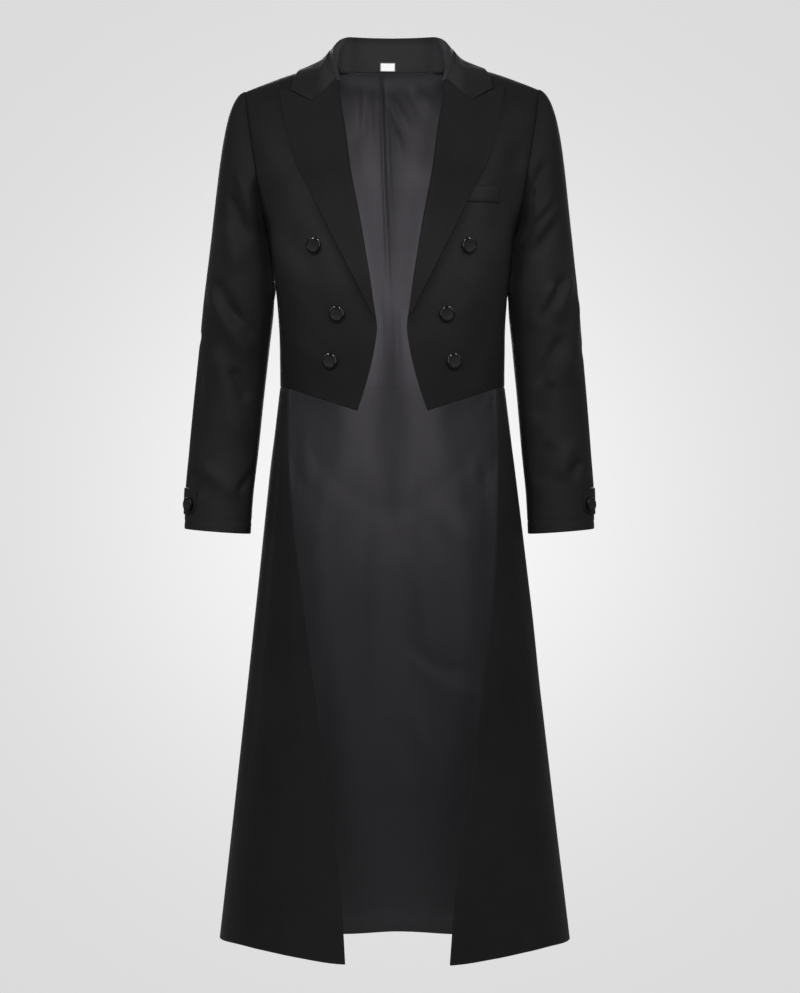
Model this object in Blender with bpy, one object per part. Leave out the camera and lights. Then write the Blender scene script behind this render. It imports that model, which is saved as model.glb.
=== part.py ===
"""A long double-breasted tailcoat, filled out as if worn, with nobody inside.

The cloth is a set of thin walls, one for each piece that a tailor would cut: two fronts cut away
at the waist, two backs, two skirt halves, two-piece sleeves, a collar, two peak lapels, the
linings that show, a chest welt, cuff tabs, a blank neck label and eight buttons.

Metres, +Z up. The wearer faces -Y and the wearer's left is +X. The origin lies between the two
neck points, on the line of the shoulders, at the height of the seam behind the neck.

The body is a stack of rounded rings. Every panel takes its points from them, so neighbours share
their seam, and whatever lies on a panel is made from the panel's points, moved out.
"""
from collections import namedtuple
from math import pi, radians

import bmesh
import bpy
import numpy as np
from mathutils import Matrix, Vector

# ---- driving sizes -------------------------------------------------------------------------
CLOTH = 0.0020              # thickness of the outer cloth with its canvas
LINING = 0.0010             # thickness of a lining
SEAM = 0.0003               # room between two pieces at a seam
SQUARE = 2.3                # how square the body's rings are; 2 is an ellipse
CHEST_Z = -0.160            # above this height the body rounds over to the shoulders
FRONT_ROUND = 1.7           # how the front rounds over; 2 is an ellipse
BACK_ROUND = 2.2            # how the back rounds over
UNDERARM_Z = -0.250         # lowest point of the armhole
WAIST_Z = -0.478            # waist seam at the side and back
HEM_Z = -1.332              # lowest points of the skirt
FRONT_POINT_X = 0.0528      # the pointed corner at the bottom of each front
FRONT_POINT_Z = -0.5167
TAIL_X = 0.1573             # where the front's hem meets the skirt's front edge
TAIL_Z = -0.4819
SLEEVE_BASE_Z = -0.310      # where the sleeve's head becomes a plain tube
CUFF_Z = -0.6969            # middle of the cuff's edge
CUFF_TILT = 0.0038          # the cuff's edge is this much higher outside and lower inside
BUTTON_RADIUS = 0.0118
BUTTON_HEIGHT = 0.0046
BUTTON_SIDES = 12
CUFF_BUTTON_RADIUS = 0.0105

Level = namedtuple("Level", "z half_width front back")
TORSO = (                   # rings of the body: height, half width, depth to the front and back
    Level(-0.160, 0.2300, 0.1130, 0.1130),
    Level(-0.205, 0.2065, 0.1170, 0.1170),
    Level(-0.250, 0.1880, 0.1190, 0.1165),
    Level(-0.310, 0.1790, 0.1180, 0.1100),
    Level(-0.350, 0.1746, 0.1165, 0.1045),
    Level(-0.410, 0.1710, 0.1140, 0.0985),
    Level(-0.478, 0.1704, 0.1125, 0.0980),
    Level(-0.530, 0.1715, 0.1125, 0.1000),
)

Ridge = namedtuple("Ridge", "x height")
SHOULDER = (                # line over the top of the shoulder, from the neck's middle outwards
    Ridge(0.000, 0.0440),
    Ridge(0.050, 0.0345),
    Ridge(0.085, 0.0140),
    Ridge(0.110, 0.0080),
    Ridge(0.150, -0.0030),
    Ridge(0.188, -0.0165),
    Ridge(0.222, -0.0295),
)

Edge = namedtuple("Edge", "z x")
FRONT_EDGE = (              # inner edge of a front: roll line, break point, cut-away edge
    Edge(0.0140, 0.0850),
    Edge(-0.0260, 0.0800),
    Edge(-0.0480, 0.0779),
    Edge(-0.0860, 0.0717),
    Edge(-0.1600, 0.0617),
    Edge(-0.2310, 0.0483),
    Edge(-0.3030, 0.0364),
    Edge(-0.3740, 0.0252),
    Edge(-0.3920, 0.0230),
    Edge(-0.4305, 0.0282),
    Edge(-0.4781, 0.0401),
    Edge(FRONT_POINT_Z, FRONT_POINT_X),
)
ARMHOLE = (                 # how far out the armhole's edge lies, top to bottom
    Edge(-0.0295, 0.2220),
    Edge(-0.0500, 0.2205),
    Edge(-0.1000, 0.2130),
    Edge(-0.1480, 0.2052),
    Edge(-0.2065, 0.1960),
    Edge(UNDERARM_Z, 0.1880),
)
LAPEL_EDGE = (              # outer edge of the lapel, from the peak down to the break
    Edge(-0.0297, 0.1675),
    Edge(-0.0456, 0.1659),
    Edge(-0.0641, 0.1630),
    Edge(-0.0788, 0.1601),
    Edge(-0.1067, 0.1527),
    Edge(-0.1316, 0.1457),
    Edge(-0.1514, 0.1389),
    Edge(-0.1757, 0.1261),
    Edge(-0.2045, 0.1124),
    Edge(-0.3780, 0.0262),
)

Skirt = namedtuple("Skirt", "z half_width front back opening drift")
SKIRT = (                   # rings of the skirt; opening is half the gap between its front edges
    Skirt(-0.478, 0.1704, 0.1125, 0.0980, 0.1573, 0.0000),
    Skirt(-0.560, 0.1801, 0.1220, 0.1100, 0.1573, 0.0006),
    Skirt(-0.670, 0.1925, 0.1340, 0.1250, 0.1537, 0.0030),
    Skirt(-0.787, 0.2054, 0.1450, 0.1375, 0.1433, 0.0062),
    Skirt(-0.905, 0.2188, 0.1560, 0.1485, 0.1294, 0.0071),
    Skirt(-1.022, 0.2320, 0.1670, 0.1585, 0.1135, 0.0073),
    Skirt(-1.138, 0.2450, 0.1780, 0.1675, 0.0977, 0.0060),
    Skirt(-1.254, 0.2585, 0.1880, 0.1750, 0.0827, 0.0040),
    Skirt(-1.331, 0.2675, 0.1935, 0.1800, 0.0768, 0.0020),
)

Hem = namedtuple("Hem", "turn rise")
HEM = (                     # how far the hem rises, by the angle round from the front
    Hem(0, 0.0000),
    Hem(14, 0.0005),
    Hem(30, 0.0090),
    Hem(45, 0.0165),
    Hem(62, 0.0213),
    Hem(90, 0.0180),
    Hem(125, 0.0050),
    Hem(165, -0.0005),
    Hem(180, 0.0020),
)

Flute = namedtuple("Flute", "turn depth spread")
FLUTES = (                  # soft vertical folds of the skirt: place, depth at the hem, width
    Flute(-152, 0.0075, 11),
    Flute(-128, -0.0050, 12),
    Flute(-168, -0.0060, 9),
    Flute(176, 0.0060, 9),
    Flute(158, -0.0070, 10),
    Flute(138, 0.0065, 12),
    Flute(112, -0.0035, 12),
    Flute(-104, 0.0030, 12),
)

Arm = namedtuple("Arm", "z inner outer depth forward")
SLEEVE = (                  # rings of the sleeve: nearest and farthest from the body, half depth
    Arm(-0.310, 0.1808, 0.2787, 0.0625, 0.000),
    Arm(-0.350, 0.1783, 0.2833, 0.0620, 0.001),
    Arm(-0.420, 0.1850, 0.2896, 0.0575, 0.004),
    Arm(-0.500, 0.1933, 0.2971, 0.0525, 0.002),
    Arm(-0.575, 0.2001, 0.3034, 0.0480, -0.004),
    Arm(-0.650, 0.2077, 0.3088, 0.0430, -0.013),
    Arm(-0.705, 0.2104, 0.3090, 0.0390, -0.020),
)

Drag = namedtuple("Drag", "z turn depth tall wide slant")
DRAGS = (                   # the sleeve's largest folds: a trough each, slanting by its slant
    Drag(-0.150, 60, 0.0040, 0.022, 30, 0.0016),
    Drag(-0.215, 85, 0.0045, 0.020, 34, 0.0016),
    Drag(-0.275, 40, -0.0025, 0.018, 34, 0.0014),
    Drag(-0.395, 95, 0.0045, 0.020, 42, 0.0010),
    Drag(-0.430, 20, -0.0025, 0.020, 40, 0.0012),
    Drag(-0.405, -60, 0.0040, 0.022, 40, -0.0010),
    Drag(-0.560, 50, 0.0030, 0.028, 36, 0.0008),
)

Station = namedtuple("Station", "seam_x seam_z fold_x fold_y fold_z mid_x mid_y mid_z "
                                "edge_x edge_y edge_z")
COLLAR = (                  # sections of the collar, from behind the neck round to the gorge seam
    Station(0.0000, 0.0080, 0.0000, 0.0780, 0.0623, 0.0000, 0.0870, 0.0300,
            0.0000, 0.0830, -0.0060),
    Station(0.0220, 0.0080, 0.0235, 0.0762, 0.0625, 0.0260, 0.0850, 0.0300,
            0.0300, 0.0820, -0.0060),
    Station(0.0420, 0.0080, 0.0445, 0.0705, 0.0625, 0.0505, 0.0780, 0.0300,
            0.0580, 0.0740, -0.0060),
    Station(0.0600, 0.0083, 0.0620, 0.0600, 0.0620, 0.0730, 0.0650, 0.0300,
            0.0850, 0.0600, -0.0055),
    Station(0.0745, 0.0093, 0.0735, 0.0455, 0.0575, 0.0900, 0.0480, 0.0285,
            0.1080, 0.0430, -0.0030),
    Station(0.0825, 0.0115, 0.0792, 0.0260, 0.0485, 0.1010, 0.0265, 0.0255,
            0.1250, 0.0220, 0.0010),
    Station(0.0850, 0.0140, 0.0822, 0.0020, 0.0350, 0.1080, 0.0020, 0.0185,
            0.1360, 0.0000, 0.0035),
    Station(0.0840, 0.0040, 0.0828, -0.0270, 0.0130, 0.1130, -0.0320, -0.0050,
            0.1430, -0.0200, -0.0105),
    Station(0.0800, -0.0190, 0.0803, -0.0610, -0.0170, 0.1190, -0.0693, -0.0528,
            0.1497, -0.0470, -0.0343),
)
BACK_STATIONS = 7           # the first stations lie on the backs, up to the neck point
FALL_STEPS = 7              # sections from the neck point round to the gorge seam
COLLAR_LIFT = 0.0010        # under face of the collar above the shoulders

Corner = namedtuple("Corner", "share x z")
LAPEL_TOP = (               # top edge of the lapel: roll, gorge, collar's corner, tip of the peak
    Corner(0.00, 0.0797, -0.0232),
    Corner(0.45, 0.1190, -0.0548),
    Corner(0.83, 0.1503, -0.0356),
    Corner(1.00, 0.1675, -0.0297),
)
LAPEL_FOOT_Z = -0.372       # lowest row of the lapel, just above the break point

Fold = namedtuple("Fold", "out lift back_out back_lift")
ROLL = (                    # how the lapel wraps round the front's edge: upper and under face
    Fold(0.0026, -0.0014, 0.0007, -0.0014),
    Fold(0.0028, 0.0006, 0.0008, 0.0002),
    Fold(0.0020, 0.0028, 0.0006, 0.0014),
    Fold(0.0004, 0.0044, 0.0000, 0.0025),
)
LAPEL_LIFT = 0.0012         # under face of the lapel above the front, at its outer edge
LAPEL_SWELL = 0.0020        # and how much higher it stands along the roll

Place = namedtuple("Place", "x z")
FRONT_BUTTONS = (           # centres of the buttons on each front, top to bottom
    Place(0.1145, -0.2706),
    Place(0.0817, -0.3733),
    Place(0.0921, -0.4433),
)
CUFF_BUTTON_Z = -0.6570
CUFF_BUTTON_TURN = 36       # degrees forward of the sleeve's outermost line
TAB_TOP_Z = -0.6325
TAB_BOTTOM_Z = -0.6715
TAB_FRONT_TURN = 50
TAB_BACK_TURN = -62
WELT_TOP_Z = -0.1834
WELT_BOTTOM_Z = -0.2056
WELT_OUTER_X = 0.1604
LABEL_X = -0.0045
LABEL_WIDTH = 0.023
LABEL_HEIGHT = 0.0135

Shift = namedtuple("Shift", "z x")
HANG = (                    # the coat hangs a little to one side of its middle line
    Shift(0.070, -0.0009),
    Shift(-0.300, -0.0003),
    Shift(-0.478, 0.0006),
    Shift(-0.900, 0.0025),
    Shift(-1.331, 0.0045),
)
SLEEVE_LEAN = 0.005         # sideways per metre that both sleeves swing below the underarm

HEAD_STEPS = 8              # rows between the underarm and the shoulder seam, shared by the sleeve
BODY_ROWS = 7               # rows of a front or back below the underarm
BACK_COLUMNS = (0.55, 0.70, 0.85, 1.0)
FRONT_COLUMNS = (0.0, 0.12, 0.25, 0.38, 0.52)
SIDE_COLUMNS = (0.78, 0.89, 1.0)
SKIRT_COLUMNS = 12
SKIRT_ROWS = 11
TUBE_ROWS = 9
CAP_ROWS = 5
STEP = 1e-4                 # small step for reading slopes


# ---- reading the tables ---------------------------------------------------------------------
def smooth(table, name, at, key="z"):
    """Read a column at a place along a table: cubic pieces that keep each rise and fall."""
    rows = sorted((getattr(row, key), getattr(row, name)) for row in table)
    places = np.array([row[0] for row in rows])
    values = np.array([row[1] for row in rows])
    gaps = np.diff(places)
    slopes = np.diff(values) / gaps
    same_way = slopes[:-1] * slopes[1:] > 0
    total = np.where(same_way, slopes[:-1] + slopes[1:], 1.0)
    inner = np.where(same_way, 2 * slopes[:-1] * slopes[1:] / total, 0.0)
    tangents = np.concatenate([slopes[:1], inner, slopes[-1:]])
    at = np.clip(np.asarray(at, dtype=float), places[0], places[-1])
    index = np.clip(np.searchsorted(places, at, side="right") - 1, 0, len(gaps) - 1)
    part = (at - places[index]) / gaps[index]
    start = values[index] * (1 + 2 * part) * (1 - part) ** 2
    start = start + gaps[index] * tangents[index] * part * (1 - part) ** 2
    end = values[index + 1] * part ** 2 * (3 - 2 * part)
    end = end + gaps[index] * tangents[index + 1] * part ** 2 * (part - 1)
    return start + end


def column(table, name):
    """One column of a table as numbers."""
    return np.array([getattr(row, name) for row in table])


# ---- the body under the coat ----------------------------------------------------------------
def ring_size(z, side):
    """Half width and depth of the body's ring; side is -1 for the front and +1 for the back."""
    low = np.minimum(z, CHEST_Z)
    depth = smooth(TORSO, "front" if side < 0 else "back", low)
    return smooth(TORSO, "half_width", low), depth


def depth_at(x, z, side):
    """How far the body's surface lies in front of or behind the side line."""
    half, depth = ring_size(z, side)
    across = np.clip(np.abs(x) / half, 0, 1)
    depth = depth * (1 - across ** SQUARE) ** (1 / SQUARE)
    ridge = smooth(SHOULDER, "height", np.abs(x), key="x")
    rise = np.clip((z - CHEST_Z) / (ridge - CHEST_Z), 0, 1)
    power = FRONT_ROUND if side < 0 else BACK_ROUND
    return depth * (1 - rise ** power) ** (1 / power)


def body_point(x, z, side):
    """Points of the body's surface at given widths and heights."""
    x, z = np.broadcast_arrays(np.asarray(x, dtype=float), np.asarray(z, dtype=float))
    return np.stack([x, side * depth_at(x, z, side), z], axis=-1)


def body_level(points, side):
    """Zero on the body's surface, negative inside it and positive outside."""
    x, y, z = np.abs(points[..., 0]), np.abs(points[..., 1]), points[..., 2]
    half, depth = ring_size(z, side)
    across = np.clip(x / half, 0, 2)
    ridge = smooth(SHOULDER, "height", x, key="x")
    rise = np.maximum((z - CHEST_Z) / (ridge - CHEST_Z), 0)
    power = FRONT_ROUND if side < 0 else BACK_ROUND
    narrowed = depth * np.maximum(1 - across ** SQUARE, 1e-4) ** (1 / SQUARE)
    above = (y / narrowed) ** power + rise ** power - 1
    below = across ** SQUARE + (y / depth) ** SQUARE - 1
    return np.where(z > CHEST_Z, above, below)


def body_slope(points, side):
    """How fast the level grows along each axis."""
    slopes = []
    for axis in np.eye(3):
        ahead = body_level(points + axis * STEP, side)
        behind = body_level(points - axis * STEP, side)
        slopes.append((ahead - behind) / (2 * STEP))
    return np.stack(slopes, axis=-1)


def unit(vectors):
    """Vectors brought to length one."""
    return vectors / np.maximum(np.linalg.norm(vectors, axis=-1, keepdims=True), 1e-12)


def body_normal(points, side):
    """Which way is out of the body at each point."""
    return unit(body_slope(points, side))


def rest_on_body(points, lift):
    """Move points that are closer to the body than a distance out to it."""
    moved = points.copy()
    for _ in range(4):
        side = np.where(moved[..., 1] < 0, -1.0, 1.0)
        for way in (-1, 1):
            slope = body_slope(moved, way)
            size = np.linalg.norm(slope, axis=-1, keepdims=True)
            height = body_level(moved, way)[..., None] / size
            push = np.maximum(lift - height, 0) * slope / size
            moved = np.where((side == way)[..., None], moved + push, moved)
    return moved


def turn_of(x, z):
    """How far round its ring a width lies: nothing at the middle, a right angle at the side."""
    half = ring_size(z, -1)[0]
    return np.arcsin(np.clip(np.abs(x) / half, 0, 1) ** (SQUARE / 2))


def width_at(turn, z):
    """The width that lies so far round the ring."""
    return ring_size(z, -1)[0] * np.sin(turn) ** (2 / SQUARE)


def hang(points, sleeve=False):
    """Let points hang a little to one side, by their height."""
    z = points[..., 2]
    if sleeve:
        shift = smooth(HANG, "x", np.maximum(z, UNDERARM_Z))
        shift = shift + np.minimum(z - UNDERARM_Z, 0) * SLEEVE_LEAN
    else:
        shift = smooth(HANG, "x", z)
    moved = points.copy()
    moved[..., 0] += shift
    return moved


def mirror(points, hand):
    """The same points on the wearer's left (hand +1) or right (hand -1)."""
    return points * np.array([hand, 1.0, 1.0])


# ---- solids ---------------------------------------------------------------------------------
def finish_object(name, mesh, material):
    """Put a mesh in the scene under its name, with its material and soft shading."""
    mesh.materials.append(material)
    mesh.shade_smooth()
    mesh.set_sharp_from_angle(angle=radians(40))
    made = bpy.data.objects.new(name, mesh)
    bpy.context.scene.collection.objects.link(made)
    return made


def wall(name, upper, under, material, crossed=(0, 0)):
    """One closed solid between two grids of points, with a narrow strip along each edge.

    Each four-sided patch is split from its first corner; between the two crossed columns it is
    split the other way, so that a lining made of both hands has the same facets as its panels.
    """
    rows, columns = upper.shape[:2]
    count = rows * columns
    place = np.arange(count).reshape(rows, columns)
    a, b, c, d = place[:-1, :-1], place[:-1, 1:], place[1:, 1:], place[1:, :-1]
    first, second = np.stack([a, b, c], -1), np.stack([a, c, d], -1)
    other = slice(*crossed)
    first[:, other] = np.stack([a, b, d], -1)[:, other]
    second[:, other] = np.stack([b, c, d], -1)[:, other]
    top = np.concatenate([first.reshape(-1, 3), second.reshape(-1, 3)])
    rim = np.concatenate([place[0, :], place[1:, -1], place[-1, -2::-1], place[-2:0:-1, 0]])
    after = np.roll(rim, -1)
    strip = np.concatenate([np.stack([after, rim, rim + count], 1),
                            np.stack([after, rim + count, after + count], 1)])
    faces = np.concatenate([top, top[:, ::-1] + count, strip])
    points = np.concatenate([upper.reshape(-1, 3), under.reshape(-1, 3)])
    corners = points[faces]
    volume = np.einsum("ij,ij->i", corners[:, 0], np.cross(corners[:, 1], corners[:, 2])).sum()
    if volume < 0:
        faces = faces[:, ::-1]
    mesh = bpy.data.meshes.new(name)
    mesh.from_pydata(points.tolist(), [], faces.tolist())
    mesh.validate()
    return finish_object(name, mesh, material)


def turned(name, profile, sides, base, axis, material):
    """A solid of revolution: a profile of (radius, height) rows spun round an axis from a base."""
    work = bmesh.new()
    verts = [work.verts.new((radius, 0.0, height)) for radius, height in profile]
    edges = [work.edges.new(pair) for pair in zip(verts, verts[1:])]
    bmesh.ops.spin(work, geom=verts + edges, cent=(0, 0, 0), axis=(0, 0, 1),
                   angle=2 * pi, steps=sides, use_duplicate=False)
    bmesh.ops.remove_doubles(work, verts=work.verts, dist=1e-6)
    bmesh.ops.recalc_face_normals(work, faces=work.faces)
    aim = Vector(axis).to_track_quat("Z", "Y").to_matrix().to_4x4()
    bmesh.ops.transform(work, matrix=Matrix.Translation(Vector(base)) @ aim, verts=work.verts)
    mesh = bpy.data.meshes.new(name)
    work.to_mesh(mesh)
    work.free()
    return finish_object(name, mesh, material)


def material(name, colour, roughness, coat=0.0):
    """A plain Principled material."""
    made = bpy.data.materials.new(name)
    made.use_nodes = True
    shader = made.node_tree.nodes["Principled BSDF"]
    shader.inputs["Base Color"].default_value = (*colour, 1.0)
    shader.inputs["Roughness"].default_value = roughness
    shader.inputs["Metallic"].default_value = 0.0
    shader.inputs["Coat Weight"].default_value = coat
    return made


# ---- fronts and backs -----------------------------------------------------------------------
def head_shares():
    """How far up the armhole each shared row lies, from the underarm to the shoulder."""
    return (1 - np.cos(np.linspace(0, pi, HEAD_STEPS + 1))) / 2


def shoulder_line(x):
    """Height of the shoulder seam over a width."""
    return smooth(SHOULDER, "height", x, key="x")


def front_grid():
    """Points of a front: rows from its hem up to the shoulder, columns from its edge outwards."""
    start = turn_of(FRONT_POINT_X, WAIST_Z)
    tail = (turn_of(TAIL_X, WAIST_Z) - start) / (pi / 2 - start)
    shares = np.array([*FRONT_COLUMNS, tail, *SIDE_COLUMNS])
    across = width_at(start + (pi / 2 - start) * shares, WAIST_Z)
    hem = np.interp(across, [FRONT_POINT_X, TAIL_X, across[-1]],
                    [FRONT_POINT_Z, TAIL_Z, WAIST_Z + SEAM / 2])
    rows = []
    for part in np.linspace(0, 1, BODY_ROWS + 1)[:-1]:
        z = hem + (UNDERARM_Z - hem) * part
        inner = turn_of(smooth(FRONT_EDGE, "x", z[0]), z[0])
        rows.append(body_point(width_at(inner + (pi / 2 - inner) * shares, z), z, -1))
    top_turns = np.array([turn_of(0.0850, 0.0), turn_of(0.2220, 0.0)])
    top_x = width_at(top_turns[0] + (top_turns[1] - top_turns[0]) * shares, 0.0)
    for part in head_shares():
        z = UNDERARM_Z + (shoulder_line(top_x) - UNDERARM_Z) * part
        inner = turn_of(smooth(FRONT_EDGE, "x", z[0]), z[0])
        outer = turn_of(smooth(ARMHOLE, "x", z[-1]), z[-1])
        rows.append(body_point(width_at(inner + (outer - inner) * shares, z), z, -1))
    return np.array(rows)


def back_grid():
    """Points of a back: rows from the waist up to neck and shoulder, columns from the middle."""
    neck = COLLAR[:BACK_STATIONS]
    end = turn_of(0.2220, 0.0)
    shares = np.concatenate([turn_of(column(neck, "seam_x"), 0.0) / end, BACK_COLUMNS])
    top_x = width_at(end * shares, 0.0)
    top_z = np.concatenate([column(neck, "seam_z"), shoulder_line(top_x[BACK_STATIONS:])])
    rows = []
    for part in np.linspace(0, 1, BODY_ROWS - 1)[:-1]:
        z = np.full(shares.shape, WAIST_Z + SEAM / 2)
        z = z + (UNDERARM_Z - z) * part
        rows.append(body_point(width_at(pi / 2 * shares, z), z, 1))
    for part in head_shares():
        z = UNDERARM_Z + (top_z - UNDERARM_Z) * part
        outer = turn_of(smooth(ARMHOLE, "x", z[-1]), z[-1])
        rows.append(body_point(width_at(outer * shares, z), z, 1))
    return np.array(rows)


def make_bodice(cloth, lining):
    """Both fronts, both backs and the lining inside the backs."""
    front = front_grid()
    front_under = front - body_normal(front, -1) * CLOTH
    back = back_grid()
    back_out = body_normal(back, 1)
    back_out[:, 0, 0] = 0.0
    back_under = back - unit(back_out) * CLOTH
    aside = np.array([SEAM / 2, 0.0, 0.0])
    behind = np.array([0.0, SEAM / 2, 0.0])
    for hand, side_name in ((1, "left"), (-1, "right")):
        wall(f"front_{side_name}", hang(mirror(front - behind, hand)),
             hang(mirror(front_under - behind, hand)), cloth)
        wall(f"back_{side_name}", hang(mirror(back + aside + behind, hand)),
             hang(mirror(back_under + aside + behind, hand)), cloth)
    face = back + behind - unit(back_out) * (CLOTH + SEAM)
    inner = back + behind - unit(back_out) * (CLOTH + SEAM + LINING)
    both = [np.concatenate([mirror(grid, -1)[:, :0:-1], grid], axis=1) for grid in (face, inner)]
    wall("lining_back", hang(both[0]), hang(both[1]), lining, crossed=(0, back.shape[1] - 1))


# ---- skirt ----------------------------------------------------------------------------------
def skirt_point(turn, share, hand):
    """Points of the skirt by the angle round from the front and the share of the way down."""
    turn, share = np.broadcast_arrays(np.asarray(turn, dtype=float), np.asarray(share, float))
    degrees = np.degrees(turn)
    wide = smooth(SKIRT, "half_width", WAIST_Z)
    top_x = wide * np.abs(np.sin(turn)) ** (2 / SQUARE)
    front_top = np.interp(top_x, [TAIL_X, wide], [TAIL_Z, WAIST_Z])
    top = np.where(turn < pi / 2, front_top, WAIST_Z) - SEAM / 2
    bottom = HEM_Z + smooth(HEM, "rise", degrees, key="turn")
    z = top + (bottom - top) * share
    half = smooth(SKIRT, "half_width", z)
    depth = np.where(turn < pi / 2, smooth(SKIRT, "front", z), smooth(SKIRT, "back", z))
    swell = np.zeros(z.shape)
    for flute in FLUTES:
        away = (degrees * hand - flute.turn + 180) % 360 - 180
        swell = swell + flute.depth * np.exp(-(away / flute.spread) ** 2)
    swell = swell * np.clip(share, 0, 1) ** 1.3
    x = half * np.abs(np.sin(turn)) ** (2 / SQUARE)
    y = -depth * np.sign(np.cos(turn)) * np.abs(np.cos(turn)) ** (2 / SQUARE)
    x = x + swell * np.sin(turn)
    y = y - swell * np.cos(turn)
    return np.stack([x, y, z], axis=-1)


def skirt_normal(turn, share, hand):
    """Which way is out of the skirt."""
    along = skirt_point(turn + 1e-3, share, hand) - skirt_point(turn - 1e-3, share, hand)
    down = skirt_point(turn, share + 1e-3, hand) - skirt_point(turn, share - 1e-3, hand)
    return unit(np.cross(down, along))


def skirt_turns(share, hand):
    """Angles of a row of the skirt, from its front edge round to the middle of the back."""
    z = WAIST_Z + (HEM_Z - WAIST_Z) * share
    edge = smooth(SKIRT, "opening", z) + hand * smooth(SKIRT, "drift", z)
    start = np.arcsin((edge / smooth(SKIRT, "half_width", z)) ** (SQUARE / 2))
    spread = np.linspace(0, 1, SKIRT_COLUMNS)
    return start + (pi - start) * spread


def skirt_grids(hand):
    """Points and outward directions of one half of the skirt."""
    points, outward = [], []
    for share in np.linspace(0, 1, SKIRT_ROWS):
        turns = skirt_turns(share, hand)
        points.append(skirt_point(turns, share, hand))
        outward.append(skirt_normal(np.minimum(turns, pi - 2e-3), share, hand))
    points, outward = np.array(points), np.array(outward)
    points[:, -1, 0] = 0.0
    outward[:, -1, 0] = 0.0
    return points, unit(outward)


def make_skirt(cloth, lining):
    """Both halves of the skirt and the lining inside them."""
    aside = np.array([SEAM / 2, 0.0, 0.0])
    halves = {}
    for hand, side_name in ((1, "left"), (-1, "right")):
        points, outward = skirt_grids(hand)
        under = points - outward * CLOTH
        wall(f"skirt_{side_name}", hang(mirror(points + aside, hand)),
             hang(mirror(under + aside, hand)), cloth)
        halves[hand] = [mirror(points - outward * (CLOTH + SEAM), hand),
                        mirror(points - outward * (CLOTH + SEAM + LINING), hand)]
    both = []
    for right, left in zip(halves[-1], halves[1]):
        seam = (right[:, -1:] + left[:, -1:]) / 2
        both.append(np.concatenate([right[:, :-1], seam, left[:, -2::-1]], axis=1))
    wall("lining_skirt", hang(both[0]), hang(both[1]), lining,
         crossed=(SKIRT_COLUMNS - 1, 2 * SKIRT_COLUMNS - 2))


# ---- sleeves --------------------------------------------------------------------------------
def armhole_point(turn):
    """The armhole's edge by angle: 0 at the shoulder, +90 degrees in front, 180 underarm."""
    share = (1 + np.cos(turn)) / 2
    top = shoulder_line(0.2220)
    z = UNDERARM_Z + (top - UNDERARM_Z) * share
    x = smooth(ARMHOLE, "x", z)
    forward = depth_at(x, z, -1)
    backward = depth_at(x, z, 1)
    y = np.where(np.sin(turn) >= 0, -forward, backward)
    return np.stack([x + 1.5 * SEAM, y, z], axis=-1)


def tube_point(turn, z):
    """The sleeve's plain tube by the angle round and the height."""
    inner, outer = smooth(SLEEVE, "inner", z), smooth(SLEEVE, "outer", z)
    middle, half = (inner + outer) / 2, (outer - inner) / 2
    depth, forward = smooth(SLEEVE, "depth", z), smooth(SLEEVE, "forward", z)
    return np.stack([middle + half * np.cos(turn), forward - depth * np.sin(turn), z], axis=-1)


def sleeve_point(turn, share):
    """The sleeve by angle and share: 0 at the cuff, 1 where the head begins, 2 at the armhole."""
    turn, share = np.broadcast_arrays(np.asarray(turn, dtype=float), np.asarray(share, float))
    cuff = CUFF_Z + CUFF_TILT * np.cos(turn) - 0.0010 * np.sin(turn)
    tube = tube_point(turn, cuff + (SLEEVE_BASE_Z - cuff) * np.minimum(share, 1))
    start = tube_point(turn, np.full(turn.shape, SLEEVE_BASE_Z))
    below = tube_point(turn, np.full(turn.shape, SLEEVE_BASE_Z - 0.02))
    end = armhole_point(turn)
    climb = (end - start)[..., 2:] * 0.6
    leave = start + (start - below) / 0.02 * climb
    top = np.cos(turn / 2) ** 2
    reach = np.stack([0.031 * top + 0.004 * (1 - top), -0.010 * np.sin(turn),
                      -0.0065 * top - 0.020 * (1 - top)], axis=-1)
    part = np.maximum(share - 1, 0)[..., None]
    head = start * (1 - part) ** 3 + 3 * leave * part * (1 - part) ** 2
    head = head + 3 * (end + reach) * part ** 2 * (1 - part) + end * part ** 3
    points = np.where(share[..., None] > 1, head, tube)
    points = points - sleeve_folds(turn, points[..., 2], share) * unit(points - tube_axis(points))
    clear = SEAM * 1.5 + 0.0015 * np.clip((2 - share) / 0.4, 0, 1)
    side = np.where(points[..., 1] < 0, -1, 1)
    front_half, front_depth = ring_size(points[..., 2], -1)
    back_depth = ring_size(points[..., 2], 1)[1]
    depth = np.where(side < 0, front_depth, back_depth)
    across = np.clip(np.abs(points[..., 1]) / depth, 0, 1)
    body = front_half * (1 - across ** SQUARE) ** (1 / SQUARE)
    below_arm = points[..., 2] <= UNDERARM_Z + 0.004
    pushed = np.maximum(points[..., 0], body + clear)
    points[..., 0] = np.where(below_arm, pushed, points[..., 0])
    return points


def tube_axis(points):
    """The middle line of the sleeve at the height of each point."""
    z = points[..., 2]
    low = np.minimum(z, SLEEVE_BASE_Z)
    middle = (smooth(SLEEVE, "inner", low) + smooth(SLEEVE, "outer", low)) / 2
    return np.stack([middle, smooth(SLEEVE, "forward", low), z], axis=-1)


def sleeve_folds(turn, z, share):
    """Depth of the sleeve's largest folds, fading out at the armhole and the cuff."""
    degrees = np.degrees((turn + pi) % (2 * pi) - pi)
    depth = np.zeros(z.shape)
    for drag in DRAGS:
        away = degrees - drag.turn
        height = z - drag.z + drag.slant * away
        depth = depth + drag.depth * np.exp(-(height / drag.tall) ** 2 - (away / drag.wide) ** 2)
    fade = np.clip((2 - share) / 0.25, 0, 1) * np.clip(share / 0.2, 0, 1)
    return (depth * fade)[..., None]


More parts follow.
